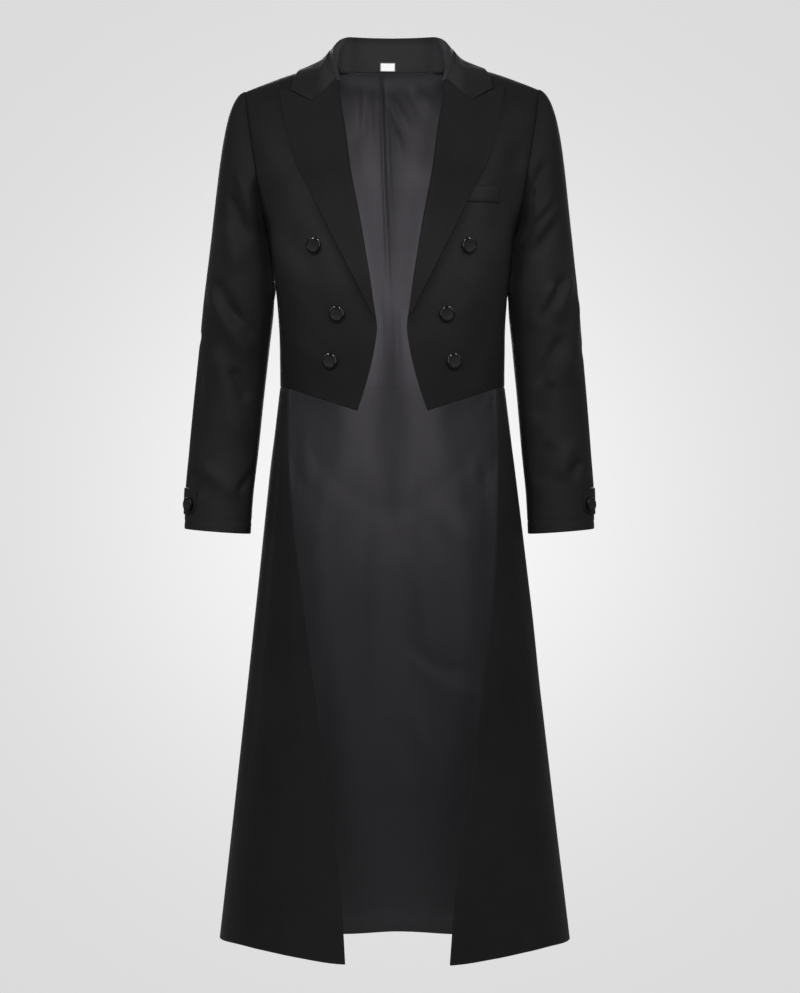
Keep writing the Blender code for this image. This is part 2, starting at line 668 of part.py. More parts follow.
def sleeve_grid(turns):
    """Points and outward directions of a piece of the sleeve between two seams."""
    shares = np.concatenate([np.linspace(0, 1, TUBE_ROWS + 1)[:-1],
                             np.linspace(1, 2, CAP_ROWS + 1)])
    turn, share = np.meshgrid(turns, shares)
    points = sleeve_point(turn, share)
    low, high = np.maximum(share - 0.01, 0), np.minimum(share + 0.01, 2)
    up = sleeve_point(turn, high) - sleeve_point(turn, low)
    round_way = sleeve_point(turn + 0.01, share) - sleeve_point(turn - 0.01, share)
    outward = unit(np.cross(up, round_way))
    middle = points - tube_axis(points)
    facing = np.sign((outward * middle).sum(axis=-1, keepdims=True))
    return points, outward * np.where(facing == 0, 1, facing)


def make_sleeves(cloth):
    """Both sleeves, each of an upper piece and an under piece."""
    quarter = pi / 8
    hair = radians(0.25)
    upper_turns = np.arange(-5, 8) * quarter
    under_turns = np.arange(7, 12) * quarter
    for name, turns in (("sleeve_top", upper_turns), ("sleeve_under", under_turns)):
        turns[0] += hair
        turns[-1] -= hair
        points, outward = sleeve_grid(turns)
        under = points - outward * CLOTH
        for hand, side_name in ((1, "left"), (-1, "right")):
            wall(f"{name}_{side_name}", hang(mirror(points, hand), sleeve=True),
                 hang(mirror(under, hand), sleeve=True), cloth)


def cuff_spot(turn, z):
    """A point on the cuff and the way out of the sleeve there."""
    point = tube_point(np.asarray(turn), np.asarray(z))
    along = tube_point(np.asarray(turn + 0.01), np.asarray(z)) - point
    down = tube_point(np.asarray(turn), np.asarray(z - 0.002)) - point
    outward = unit(np.cross(down, along))
    middle = point - tube_axis(point)
    return point, outward * np.sign((outward * middle).sum())


def make_cuff_trim(cloth, gloss):
    """A tab round the back of each cuff and the button at its front end."""
    turns = np.radians(np.linspace(TAB_BACK_TURN, TAB_FRONT_TURN, 9))
    heights = np.linspace(TAB_BOTTOM_Z, TAB_TOP_Z, 4)
    point_in = np.array([0, 0, 0, 0, 0, 0, 0, 0.10, 0.35])
    middle = (TAB_TOP_Z + TAB_BOTTOM_Z) / 2
    upper, under = [], []
    for z in heights:
        narrowed = z + (middle - z) * point_in
        spots = [cuff_spot(turn, height) for turn, height in zip(turns, narrowed)]
        points = np.array([spot[0] for spot in spots])
        outward = np.array([spot[1] for spot in spots])
        under.append(points + outward * SEAM * 1.5)
        upper.append(points + outward * (SEAM * 1.5 + CLOTH))
    upper, under = np.array(upper), np.array(under)
    seat, outward = cuff_spot(radians(CUFF_BUTTON_TURN), CUFF_BUTTON_Z)
    seat = seat + outward * (CLOTH + SEAM * 3)
    for hand, side_name in ((1, "left"), (-1, "right")):
        wall(f"cuff_tab_{side_name}", hang(mirror(upper, hand), sleeve=True),
             hang(mirror(under, hand), sleeve=True), cloth)
        base = hang(mirror(seat[None], hand), sleeve=True)[0]
        turned(f"cuff_button_{side_name}", button_profile(CUFF_BUTTON_RADIUS), BUTTON_SIDES,
               base, mirror(outward, hand), gloss)


# ---- buttons --------------------------------------------------------------------------------
def button_profile(radius):
    """A button's section from the middle of its back to the middle of its dished face."""
    top = BUTTON_HEIGHT
    rim = radius * 0.20
    return ((0.0, 0.0), (radius - rim * 1.3, 0.0), (radius - rim * 0.2, top * 0.30),
            (radius, top * 0.62), (radius - rim * 0.35, top * 0.95), (radius - rim * 0.9, top),
            (radius - rim * 1.6, top * 0.72), (0.0, top * 0.56))


def make_front_buttons(gloss):
    """Three buttons on each front."""
    for hand, side_name in ((1, "left"), (-1, "right")):
        for number, place in enumerate(FRONT_BUTTONS, start=1):
            point = body_point(place.x, place.z, -1)
            outward = body_normal(point[None], -1)[0]
            seat = hang(mirror((point + outward * SEAM * 2)[None], hand))[0]
            turned(f"button_{side_name}_{number}", button_profile(BUTTON_RADIUS), BUTTON_SIDES,
                   seat, mirror(outward, hand), gloss)


# ---- lapels, collar, welt and label ---------------------------------------------------------
def lapel_grid():
    """Upper and under face of a lapel: rows from the break up, columns from the roll outwards."""
    shares = np.array([0.10, 0.27, 0.45, 0.64, 0.83, 1.0])
    top_z = np.interp(shares, column(LAPEL_TOP, "share"), column(LAPEL_TOP, "z"))
    top_x = np.interp(shares, column(LAPEL_TOP, "share"), column(LAPEL_TOP, "x"))
    corner = LAPEL_TOP[0]
    top_share = (top_x - corner.x) / (LAPEL_TOP[-1].x - corner.x)
    upper, under = [], []
    for part in (0, 0.10, 0.22, 0.34, 0.46, 0.58, 0.70, 0.79, 0.87, 0.94, 1.0):
        z_edge = LAPEL_FOOT_Z + (corner.z - LAPEL_FOOT_Z) * part
        z = LAPEL_FOOT_Z + (top_z - LAPEL_FOOT_Z) * part
        mix = shares + (top_share - shares) * part ** 4
        inner = smooth(FRONT_EDGE, "x", z)
        points = body_point(inner + (smooth(LAPEL_EDGE, "x", z) - inner) * mix, z, -1)
        outward = body_normal(points, -1)
        rise = (LAPEL_LIFT + LAPEL_SWELL * (1 - shares) ** 1.5)[:, None]
        root = body_point(smooth(FRONT_EDGE, "x", z_edge), z_edge, -1)[None]
        root_out = body_normal(root, -1)
        toward = unit(np.array([[-1.0, 0.0, 0.0]]) + root_out * root_out[:, :1])
        fold = [root + toward * row.out + root_out * row.lift for row in ROLL]
        fold_under = [root + toward * row.back_out + root_out * row.back_lift for row in ROLL]
        upper.append(np.concatenate(fold + [points + outward * (rise + CLOTH)]))
        under.append(np.concatenate(fold_under + [points + outward * rise]))
    return np.array(upper), np.array(under)


def collar_rows():
    """The collar's sections with others between them, where the fall turns over the shoulder."""
    at = np.concatenate([np.arange(6), np.linspace(6, len(COLLAR) - 1, FALL_STEPS)])
    names = Station._fields
    count = namedtuple("Count", ("place", *names))
    numbered = [count(place, *row) for place, row in enumerate(COLLAR)]
    return [Station(*(float(smooth(numbered, name, place, key="place")) for name in names))
            for place in at]


def collar_section(row, behind):
    """Upper face of the collar at one station, from the neck seam over the fold to its edge."""
    seam = body_point(row.seam_x, row.seam_z, 1 if behind else -1)
    fold = np.array([row.fold_x, row.fold_y, row.fold_z])
    middle = np.array([row.mid_x, row.mid_y, row.mid_z])
    edge = np.array([row.edge_x, row.edge_y, row.edge_z])
    away = unit((edge - fold) * np.array([1.0, 1.0, 0.0]))
    up = np.array([0.0, 0.0, 1.0])
    foot = seam + up * SEAM * 2 - away * CLOTH
    return np.array([
        foot,
        foot + (fold - foot) * 0.55,
        fold - away * 0.0026 - up * 0.0040,
        fold - away * 0.0016 - up * 0.0008,
        fold + away * 0.0008 - up * 0.0003,
        fold + away * 0.0032 - up * 0.0034,
        fold + (middle - fold) * 0.45 + away * 0.0015,
        middle,
        (middle + edge) / 2 + away * 0.001,
        edge,
    ]), away


def collar_inward(points, away):
    """Which way the under face lies: across the section, and into the body below the fold."""
    along = np.gradient(points, axis=0)
    up = np.array([0.0, 0.0, 1.0])
    flat = np.stack([(along * away).sum(axis=1), along @ up], axis=1)
    flat = flat / np.linalg.norm(flat, axis=1, keepdims=True)
    inward = flat[:, 1:] * away - flat[:, :1] * up
    for place in range(6, len(points)):
        side = -1 if points[place, 1] < 0 else 1
        inward[place] = -body_normal(points[place][None], side)[0]
    return inward


def make_collar(cloth):
    """The collar: a stand round the neck that folds over into a fall on the shoulders."""
    upper, under = [], []
    for place, row in enumerate(collar_rows()):
        points, away = collar_section(row, place < BACK_STATIONS)
        below = points + collar_inward(points, away) * CLOTH * 0.9
        seated = rest_on_body(below[6:], COLLAR_LIFT)
        points[6:] += seated - below[6:]
        below[6:] = seated
        upper.append(points)
        under.append(below)
    both = [np.concatenate([mirror(grid, -1)[:0:-1], grid], axis=0)
            for grid in (np.array(upper), np.array(under))]
    wall("collar", hang(both[0]), hang(both[1]), cloth)


def make_lapels(cloth):
    """Both peak lapels, each turned back over its front."""
    upper, under = lapel_grid()
    for hand, side_name in ((1, "left"), (-1, "right")):
        wall(f"lapel_{side_name}", hang(mirror(upper, hand)), hang(mirror(under, hand)), cloth)


def make_welt(cloth):
    """The chest pocket's welt, which comes out from under the wearer's left lapel."""
    upper, under = [], []
    for z in np.linspace(WELT_BOTTOM_Z, WELT_TOP_Z, 3):
        start = smooth(LAPEL_EDGE, "x", z) + 0.0009
        points = body_point(np.linspace(start, WELT_OUTER_X, 5), z, -1)
        outward = body_normal(points, -1)
        under.append(points + outward * SEAM * 1.5)
        upper.append(points + outward * (SEAM * 1.5 + CLOTH))
    wall("chest_welt", hang(np.array(upper)), hang(np.array(under)), cloth)


def make_label(tape):
    """A blank label on the inside of the collar's stand, just above the neck seam."""
    first = collar_section(COLLAR[0], True)[0]
    across = np.linspace(LABEL_X - LABEL_WIDTH / 2, LABEL_X + LABEL_WIDTH / 2, 5)
    seam_y = body_point(across, 0.0080, 1)[:, 1] - CLOTH
    lean = (first[1, 1] - first[0, 1]) / (first[1, 2] - first[0, 2])
    upper, under = [], []
    for rise in (0.0012, 0.0012 + LABEL_HEIGHT):
        y = seam_y + lean * rise - 0.0008
        z = np.full(across.shape, 0.0080 + rise)
        under.append(np.stack([across, y, z], axis=-1))
        upper.append(np.stack([across, y - 0.0010, z], axis=-1))
    wall("neck_label", hang(np.array(upper)), hang(np.array(under)), tape)


def main():
    """Clear the scene and make every piece of the coat."""
    for old in list(bpy.data.objects):
        bpy.data.objects.remove(old, do_unlink=True)
    cloth = material("black_suiting", (0.0115, 0.0115, 0.0125), 0.72)
    collar_cloth = material("black_collar_cloth", (0.0120, 0.0115, 0.0130), 0.68)
    lining = material("charcoal_lining", (0.0330, 0.0315, 0.0350), 0.48)
    gloss = material("black_gloss", (0.0060, 0.0060, 0.0065), 0.18, coat=0.6)
    tape = material("white_label", (0.7800, 0.7800, 0.7700), 0.60)
    make_bodice(cloth, lining)
    make_skirt(cloth, lining)
    make_sleeves(cloth)
    make_lapels(collar_cloth)
    make_collar(collar_cloth)
    make_welt(cloth)
    make_cuff_trim(cloth, gloss)
    make_front_buttons(gloss)
    make_label(tape)


main()
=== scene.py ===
"""The looks of a long black double-breasted tailcoat, filled out as if worn, with nobody inside.

Every piece of cloth is a thin closed wall: an outer and an inner grid of points joined round the
edge. The grids follow the same rounded rings as the solids, with the creases, seams, pleats and
rolled edges that a worn coat shows. Metres, +Z up; the wearer faces -Y and their left is +X.
"""

import logging
from dataclasses import dataclass
from enum import Enum
from math import pi, radians
from typing import Callable, NamedTuple, Optional, Sequence, TypeVar

import bpy
import numpy as np
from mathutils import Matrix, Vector
from numpy.typing import NDArray


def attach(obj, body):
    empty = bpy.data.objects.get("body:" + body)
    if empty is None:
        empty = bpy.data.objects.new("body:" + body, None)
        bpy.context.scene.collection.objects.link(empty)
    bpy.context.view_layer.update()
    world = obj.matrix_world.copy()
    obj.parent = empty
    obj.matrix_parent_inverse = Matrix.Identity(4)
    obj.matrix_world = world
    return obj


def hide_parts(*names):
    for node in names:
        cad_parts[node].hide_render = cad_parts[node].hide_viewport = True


Grid = NDArray[np.float64]
Faces = NDArray[np.int64]
Look = bpy.types.Material
Piece = bpy.types.Object
Socket = bpy.types.NodeSocket
Stops = tuple[tuple[float, float], ...]
Row = TypeVar("Row")

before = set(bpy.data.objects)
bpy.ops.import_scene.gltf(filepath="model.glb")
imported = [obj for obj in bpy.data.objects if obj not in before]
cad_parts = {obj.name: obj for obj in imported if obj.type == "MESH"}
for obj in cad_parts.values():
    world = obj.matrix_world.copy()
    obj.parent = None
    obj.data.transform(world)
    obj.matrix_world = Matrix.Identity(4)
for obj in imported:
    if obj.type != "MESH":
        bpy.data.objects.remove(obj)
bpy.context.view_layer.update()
LOG = logging.getLogger("tailcoat")

# ---- sizes shared by several pieces ----------
CLOTH = 0.002
LINING = 0.001
SEAM = 0.0003
SQUARE = 2.3
CHEST_Z = -0.16
FRONT_ROUND = 1.7
BACK_ROUND = 2.2
UNDERARM_Z = -0.25
WAIST_Z = -0.478
HEM_Z = -1.332
TAIL_X = 0.1573
TAIL_Z = -0.4819
SHOULDER_X = 0.222
NECK_X = 0.085
SMALL = 1e-4


# ---- tables ----------------------------------
class Level(NamedTuple):
    """A ring of the body."""

    z: float
    half_width: float
    front: float
    back: float


class Point(NamedTuple):
    """A place on a line that is read either way."""

    x: float
    z: float


class Skirt(NamedTuple):
    """A ring of the skirt; opening is half the gap in front and drift moves it sideways."""

    z: float
    half_width: float
    front: float
    back: float
    opening: float
    drift: float


class Hem(NamedTuple):
    """How far the hem rises on the wearer's left and right, by the angle round from the front."""

    turn: float
    left: float
    right: float


class Flute(NamedTuple):
    """A soft vertical fold of the skirt: place in degrees, depth at the hem, width in degrees."""

    turn: float
    depth: float
    spread: float


class Arm(NamedTuple):
    """A ring of the sleeve: nearest to and farthest from the body, half depth, forward lean."""

    z: float
    inner: float
    outer: float
    depth: float
    forward: float


class Station(NamedTuple):
    """A section of the collar: neck seam, fold, middle of the fall and outer edge."""

    seam_x: float
    seam_z: float
    fold_x: float
    fold_y: float
    fold_z: float
    mid_x: float
    mid_y: float
    mid_z: float
    edge_x: float
    edge_y: float
    edge_z: float


def table(kind: Callable[..., Row], *rows: tuple[float, ...]) -> tuple[Row, ...]:
    """A table of one kind of row."""
    return tuple(kind(*row) for row in rows)


def metres(kind: Callable[..., Row], *rows: tuple[float, ...]) -> tuple[Row, ...]:
    """A table of one kind of row, from numbers in millimetres."""
    return table(kind, *(tuple(number / 1000 for number in row) for row in rows))


TORSO: tuple[Level, ...] = metres(
    Level,
    (-160, 230, 113, 113),
    (-205, 206.5, 117, 117),
    (-250, 188, 119, 116.5),
    (-310, 179, 118, 110),
    (-350, 174.6, 116.5, 104.5),
    (-410, 171, 114, 98.5),
    (-478, 170.4, 112.5, 98),
    (-530, 171.5, 112.5, 100),
)
SHOULDER: tuple[Point, ...] = metres(
    Point,
    (0, 44), (50, 34.5), (85, 14), (110, 8), (150, -3), (188, -16.5), (222, -29.5),
)
FRONT_EDGE: tuple[Point, ...] = metres(
    Point,
    (85, 14), (80, -26), (77.9, -48), (71.7, -86), (61.7, -160), (48.3, -231), (36.4, -303),
    (25.2, -374), (23, -392), (28.2, -430.5), (40.1, -478.1), (52.8, -516.7),
)
ARMHOLE: tuple[Point, ...] = metres(
    Point,
    (222, -29.5), (220.5, -50), (213, -100), (205.2, -148), (196, -206.5), (188, -250),
)
LAPEL_EDGE: tuple[Point, ...] = metres(
    Point,
    (167.5, -29.7), (165.9, -45.6), (163, -64.1), (160.1, -78.8), (152.7, -106.7), (145.7, -131.6),
    (138.9, -151.4), (126.1, -175.7), (112.4, -204.5), (26.2, -378),
)
SKIRT: tuple[Skirt, ...] = metres(
    Skirt,
    (-478, 170.4, 112.5, 98, 157.3, 0),
    (-560, 180.1, 122, 110, 157.3, 0.6),
    (-670, 192.5, 134, 125, 153.7, 3),
    (-787, 205.4, 145, 137.5, 143.3, 6.2),
    (-905, 218.8, 156, 148.5, 129.4, 7.1),
    (-1022, 232, 167, 158.5, 113.5, 7.3),
    (-1138, 245, 178, 167.5, 97.7, 6),
    (-1254, 258.5, 188, 175, 83, 5),
    (-1331, 267.5, 193.5, 180, 77.5, 4),
)
HEM: tuple[Hem, ...] = table(
    Hem,
    (0, 0.0002, 0.0012), (14, 0.0008, 0.0026), (30, 0.0078, 0.0104), (45, 0.0146, 0.0172),
    (62, 0.0186, 0.0212), (90, 0.0168, 0.0178), (125, 0.0048, 0.005), (165, -0.0005, -0.0005),
    (180, 0.002, 0.002),
)
FLUTES: tuple[Flute, ...] = table(
    Flute,
    (-152, 0.0075, 11), (-128, -0.005, 12), (-168, -0.006, 9), (176, 0.006, 9), (158, -0.007, 10),
    (138, 0.0065, 12), (112, -0.0035, 12), (-104, 0.003, 12),
)
SLEEVE: tuple[Arm, ...] = metres(
    Arm,
    (-310, 179.4, 280.7, 62.5, 0),
    (-332, 177.7, 283.3, 62.3, 0),
    (-352, 178, 285.5, 61.9, 1),
    (-420, 184.5, 291.6, 57.5, 4),
    (-500, 192.8, 299.1, 52.5, 2),
    (-575, 199.6, 305.2, 48, -4),
    (-650, 207.2, 310.2, 43, -13),
    (-705, 210, 310.4, 39, -20),
)
COLLAR: tuple[Station, ...] = metres(
    Station,
    (0, 8, 0, 78, 62.3, 0, 87, 30, 0, 83, -6),
    (22, 8, 23.5, 76.2, 62.5, 26, 85, 30, 30, 82, -6),
    (42, 8, 44.5, 70.5, 62.5, 50.5, 78, 30, 58, 74, -6),
    (60, 8.3, 62, 60, 62, 73, 65, 30, 85, 60, -5.5),
    (74.5, 9.3, 73.5, 45.5, 57.5, 90, 48, 28.5, 108, 43, -3),
    (82.5, 11.5, 79.2, 26, 48.5, 101, 26.5, 25.5, 125, 22, 1),
    (85, 14, 82.2, 2, 35, 108, 2, 18.5, 136, 0, 3.5),
    (84, 4, 82.8, -27, 13, 113, -32, -5, 143, -20, -10.5),
    (80, -19, 80.3, -61, -17, 119, -69.3, -52.8, 149.7, -47, -34.3),
)
BACK_STATIONS = 7
HANG: tuple[Point, ...] = metres(
    Point,
    (-0.9, 70), (-0.3, -300), (0.6, -478), (2.5, -900), (4.5, -1331),
)
SLEEVE_LEAN = 0.008
LEFT_SHOULDER_UP = 0.0033
LEFT_SHOULDER_OUT = 0.0014
RAISED_FROM = 0.6
RAISED_WIDTH = 0.14
RAISED_HEIGHT = 0.17
LEVEL_OVER = 0.04


# ---- reading and shaping ---------------------
def smooth(table: Sequence[NamedTuple], name: str, at: Grid | float, key: str = "z") -> Grid:
    """Read a column along a table with cubic pieces that keep each rise and fall.

    Between two rows the value is a Hermite cubic; a row's slope is the harmonic mean of the
    slopes beside it, or nothing where they disagree, so the curve never overshoots.

    Args:
        table: rows with named columns.
        name: the column that is read.
        at: places along the key column.
        key: the column that orders the rows.

    Returns:
        The column's value at each place, held level past both ends.
    """
    rows = sorted((getattr(row, key), getattr(row, name)) for row in table)
    places = np.array([row[0] for row in rows])
    values = np.array([row[1] for row in rows])
    gaps = np.diff(places)
    slopes = np.diff(values) / gaps
    same_way = slopes[:-1] * slopes[1:] > 0
    total = np.where(same_way, slopes[:-1] + slopes[1:], 1.0)
    inner = np.where(same_way, 2 * slopes[:-1] * slopes[1:] / total, 0.0)
    tangents = np.concatenate([slopes[:1], inner, slopes[-1:]])
    at = np.clip(np.asarray(at, dtype=float), places[0], places[-1])
    index = np.clip(np.searchsorted(places, at, side="right") - 1, 0, len(gaps) - 1)
    part = (at - places[index]) / gaps[index]
    start = values[index] * (1 + 2 * part) * (1 - part) ** 2
    start = start + gaps[index] * tangents[index] * part * (1 - part) ** 2
    end = values[index + 1] * part ** 2 * (3 - 2 * part)
    return start + end + gaps[index] * tangents[index + 1] * part ** 2 * (part - 1)


def unit(vectors: Grid) -> Grid:
    """Vectors brought to length one."""
    return vectors / np.maximum(np.linalg.norm(vectors, axis=-1, keepdims=True), 1e-12)


def ease(part: Grid) -> Grid:
    """A soft step: nothing below 0, one above 1, three times the square less twice the cube."""
    part = np.clip(part, 0, 1)
    return part * part * (3 - 2 * part)


def spread(low: float, high: float, count: int, size: float) -> Grid:
    """Even places from low to high, with extra ones close to both ends for a crisp border.

    Args:
        low: first place.
        high: last place.
        count: how many even places.
        size: real length from low to high, in metres.

    Returns:
        The places, rising.
    """
    near = np.array([0.0008, 0.002, 0.0036]) / size
    even = np.linspace(0, 1, count)
    even = even[(even > near[-1] * 1.4) & (even < 1 - near[-1] * 1.4)]
    return low + (high - low) * np.concatenate([[0], near, even, 1 - near[::-1], [1]])


def resample(points: Grid, count: int) -> Grid:
    """Pass a smooth curve through points along the second last axis.

    Each stretch is a Catmull-Rom cubic: its slope at a point is half the step from the point
    before to the point after.
    """
    last = points.shape[-2] - 1
    place = np.linspace(0, last, count)
    index = np.clip(place.astype(int), 0, last - 1)
    part = (place - index)[:, None]
    before, after = np.maximum(index - 1, 0), np.minimum(index + 2, last)
    p0, p1 = points[..., before, :], points[..., index, :]
    p2, p3 = points[..., index + 1, :], points[..., after, :]
    curve = 2 * p1 + (p2 - p0) * part + (2 * p0 - 5 * p1 + 4 * p2 - p3) * part ** 2
    return (curve + (3 * p1 - p0 - 3 * p2 + p3) * part ** 3) / 2


def arc_lengths(points: Grid) -> Grid:
    """How far each point of a grid lies along its row and down its column, in metres."""
    across = np.linalg.norm(np.diff(points, axis=1), axis=-1).cumsum(axis=1)
    down = np.linalg.norm(np.diff(points, axis=0), axis=-1).cumsum(axis=0)
    across = np.concatenate([np.zeros_like(across[:, :1]), across], axis=1)
    down = np.concatenate([np.zeros_like(down[:1]), down], axis=0)
    return np.stack([across, down], axis=-1)


def grid_normal(points: Grid, toward: Grid) -> Grid:
    """The way out of a grid: the cross product of its two directions, facing a given way."""
    normal = unit(np.cross(np.gradient(points, axis=0), np.gradient(points, axis=1)))
    facing = np.sign((normal * toward).sum(axis=-1, keepdims=True))
    return normal * np.where(facing == 0, 1, facing)


def level_at_waist(outward: Grid, points: Grid) -> Grid:
    """Directions turned level at the first row, so that both linings meet there in one line."""
    leaning = ease(arc_lengths(points)[..., 1] / LEVEL_OVER)
    level = outward.copy()
    level[..., 2] *= leaning
    return unit(level)


class Side(Enum):
    """The wearer's left is on +X and their right on -X."""

    LEFT = 1
    RIGHT = -1

    @property
    def word(self) -> str:
        """The side's name as it stands in a node's name."""
        return self.name.lower()

    def of(self, points: Grid) -> Grid:
        """Points made for the left, on this side."""
        return points * np.array([self.value, 1.0, 1.0])


def hang(points: Grid, sleeve: bool = False) -> Grid:
    """Let points hang a little to one side by their height, with the left shoulder raised.

    The raise is a product of two soft steps: out from the neck, and up from the underarm.
    """
    x, z = points[..., 0], points[..., 2]
    shift = smooth(HANG, "x", np.maximum(z, UNDERARM_Z) if sleeve else z)
    if sleeve:
        shift = shift + np.minimum(z - UNDERARM_Z, 0) * SLEEVE_LEAN
    outward = ease((x - NECK_X * RAISED_FROM) / RAISED_WIDTH)
    raised = outward * ease((z - UNDERARM_Z) / RAISED_HEIGHT)
    moved = points.copy()
    moved[..., 0] += shift + LEFT_SHOULDER_OUT * raised
    moved[..., 2] += LEFT_SHOULDER_UP * raised
    return moved


@dataclass(frozen=True)
class Crease:
    """One soft trough (depth above nothing) or ridge (below it) drawn on a piece's chart.

    It runs from one place to another, bowed to one side like a parabola, falls away to both sides
    as a bell curve of its width, leans by skew, and fades in over lead and out over tail. Lengths
    are in millimetres; on a tube the places across are in degrees.
    """

    from_across: float
    from_down: float
    to_across: float
    to_down: float
    depth: float
    width: float
    bow: float = 0.0
    skew: float = 0.0
    lead: float = 0.22
    tail: float = 0.32

    def dent(self, across: Grid, down: Grid, stretch: float) -> Grid:
        """Depth of this crease at each point of the chart, all in millimetres."""
        run_x = (self.to_across - self.from_across) * stretch
        run_z = self.to_down - self.from_down
        length = np.hypot(run_x, run_z)
        from_x, from_z = (across - self.from_across) * stretch, down - self.from_down
        part = np.clip((from_x * run_x + from_z * run_z) / length ** 2, 0, 1)
        aside = (from_x * run_z - from_z * run_x) / length - self.bow * 4 * part * (1 - part)
        away = aside / (self.width * (0.75 + 0.5 * part))
        fade = ease(part / self.lead) * ease((1 - part) / self.tail)
        return self.depth * fade * np.exp(-away ** 2) * (1 + self.skew * away)


Creases = tuple[Crease, ...]


def relief(creases: Creases, across: Grid, down: Grid, degree: float = 0.0) -> Grid:
    """Depth of several creases together.

    Args:
        creases: the creases of one piece.
        across: the chart's first coordinate, in metres, or in degrees on a tube.
        down: the chart's second coordinate, in metres.
        degree: millimetres in a degree, on a tube only.

    Returns:
        The summed depth at each point, in metres.
    """
    across, stretch = (across, degree) if degree else (across * 1000, 1.0)
    depth = np.zeros(np.broadcast(across, down).shape)
    for crease in creases:
        depth = depth + crease.dent(across, down * 1000, stretch)
    return depth / 1000


class Border(Enum):
    """How one side of a piece ends."""

    FREE = "turned edge"
    SEAM = "sewn to its neighbour"
    HIDDEN = "covered by another piece"


class Slot(Enum):
    """The row's names for the finishes."""

    SUITING = "suiting"
    COLLAR = "collar_cloth"
    LINING = "lining"
    BUTTON = "button_gloss"
    LABEL = "label_tape"


class Held(Enum):
    """How a piece of cloth is held."""

    HUNG = "hung"
    FOLDED = "folded"
    STRETCHED = "stretched"


class Borders(NamedTuple):
    """The four sides of a piece's grid: first and last column, first and last row."""

    first: Border
    last: Border
    low: Border
    high: Border

    @classmethod
    def all_round(cls, border: Border) -> "Borders":
        """Four sides that end alike."""
        return cls(border, border, border, border)


class Cut(NamedTuple):
    """The flat cut of what shows: width, length and area in metres."""

    width: float
    length: float
    area: float


@dataclass
class Panel:
    """A thin closed wall of cloth on a grid of points, which stands for one solid."""

    node: str
    outer: Grid
    normal: Grid
    borders: Borders
    looks: tuple[Look, Look]
    thickness: float = CLOTH
    dent: Optional[Grid] = None
    inner: Optional[Grid] = None
    # painted shade beside the lapels, one number for each point
    pressed: Optional[Grid] = None
    facing: float = 0.0
    seam_depth: float = 0.0009
    seam_width: float = 0.0026
    rim_round: float = 0.4
    kind: str = "cloth"

    def distances(self, chart: Grid) -> tuple[Grid, Grid, Grid]:
        """How far each point is from a seam and a turned edge, and its place along that edge."""
        u, v = chart[..., 0], chart[..., 1]
        away = (u, u[:, -1:] - u, v, v[-1:] - v)
        along = (v, v, u, u)
        far = np.full(u.shape, 1.0)
        seam, edge, run = far, far.copy(), np.zeros(u.shape)
        for border, gap, place in zip(self.borders, away, along):
            if border is Border.SEAM:
                seam = np.minimum(seam, gap)
            if border is Border.FREE:
                run = np.where(gap < edge, place, run)
                edge = np.minimum(edge, gap)
        return seam, edge, run

    def build(self) -> Piece:
        """Join the outer and inner grid round a rounded rim and dress both faces.

        The outer grid sinks into its creases, and into a shallow valley beside each seam that
        falls away as a bell curve. The rim's middle line stands out by a share of the thickness.
        """
        chart = arc_lengths(self.outer)
        seam, edge, run = self.distances(chart)
        sink = self.seam_depth * np.exp(-(seam / self.seam_width) ** 2)
        if self.dent is not None:
            sink = sink + self.dent
        shift = self.normal * sink[..., None]
        outer = self.outer - shift
        inner = outer - self.normal * self.thickness if self.inner is None else self.inner - shift
        rows, columns = outer.shape[:2]
        count = rows * columns
        place = np.arange(count).reshape(rows, columns)
        a, b, c, d = place[:-1, :-1], place[:-1, 1:], place[1:, 1:], place[1:, :-1]
        top = np.stack([a, b, c, d], -1).reshape(-1, 4)
        rim = np.concatenate([place[0, :], place[1:, -1], place[-1, -2::-1], place[-2:0:-1, 0]])
        flat = outer.reshape(-1, 3)
        middle = (flat + inner.reshape(-1, 3)) / 2
        outward = np.zeros_like(outer)
        outward[0] += unit(outer[0] - outer[1])
        outward[-1] += unit(outer[-1] - outer[-2])
        outward[:, 0] += unit(outer[:, 0] - outer[:, 1])
        outward[:, -1] += unit(outer[:, -1] - outer[:, -2])
        bulge = unit(outward.reshape(-1, 3)[rim]) * self.thickness * self.rim_round
        points = np.concatenate([flat, inner.reshape(-1, 3), middle[rim] + bulge])
        mid = 2 * count + np.arange(len(rim))
        after, mid_after = np.roll(rim, -1), np.roll(mid, -1)
        strips = [np.stack([after, rim, mid, mid_after], 1),
                  np.stack([mid_after, mid, rim + count, after + count], 1)]
        faces = np.concatenate([top, top[:, ::-1] + count, *strips])
        faces = outside_out(points, faces)
        lined = chart[:-1, :-1, 0].reshape(-1) >= self.facing
        rest = np.zeros(2 * len(rim), int)
        skin = np.concatenate([np.zeros(len(top), int), lined.astype(int), rest])
        source = np.concatenate([np.arange(count), np.arange(count), rim])
        # the painted shade beside the lapels is kept on each point for the finish
        pressed = np.zeros(seam.shape) if self.pressed is None else self.pressed
        grids = {"seam": seam, "edge": edge, "run": run, "pressed": pressed}
        values = {name: grid.reshape(-1)[source] for name, grid in grids.items()}
        return make_piece(f"{self.node}_{self.kind}", points, faces,
                          chart.reshape(-1, 2)[source], self.looks, skin, values)

    def enter(self, slot: Slot, cut: Cut, held: Held, *rests_on: str) -> None:
        """Build the piece and enter it."""
        piece = enter(self.build(), self.node)


def outside_out(points: Grid, faces: Faces) -> Faces:
    """Faces turned to point out: then the volumes of the pyramids under them sum to more than 0."""
    a, b, c, d = np.moveaxis(points[faces], 1, 0)
    volume = (a * np.cross(b, c)).sum() + (a * np.cross(c, d)).sum()
    return faces[:, ::-1] if volume < 0 else faces


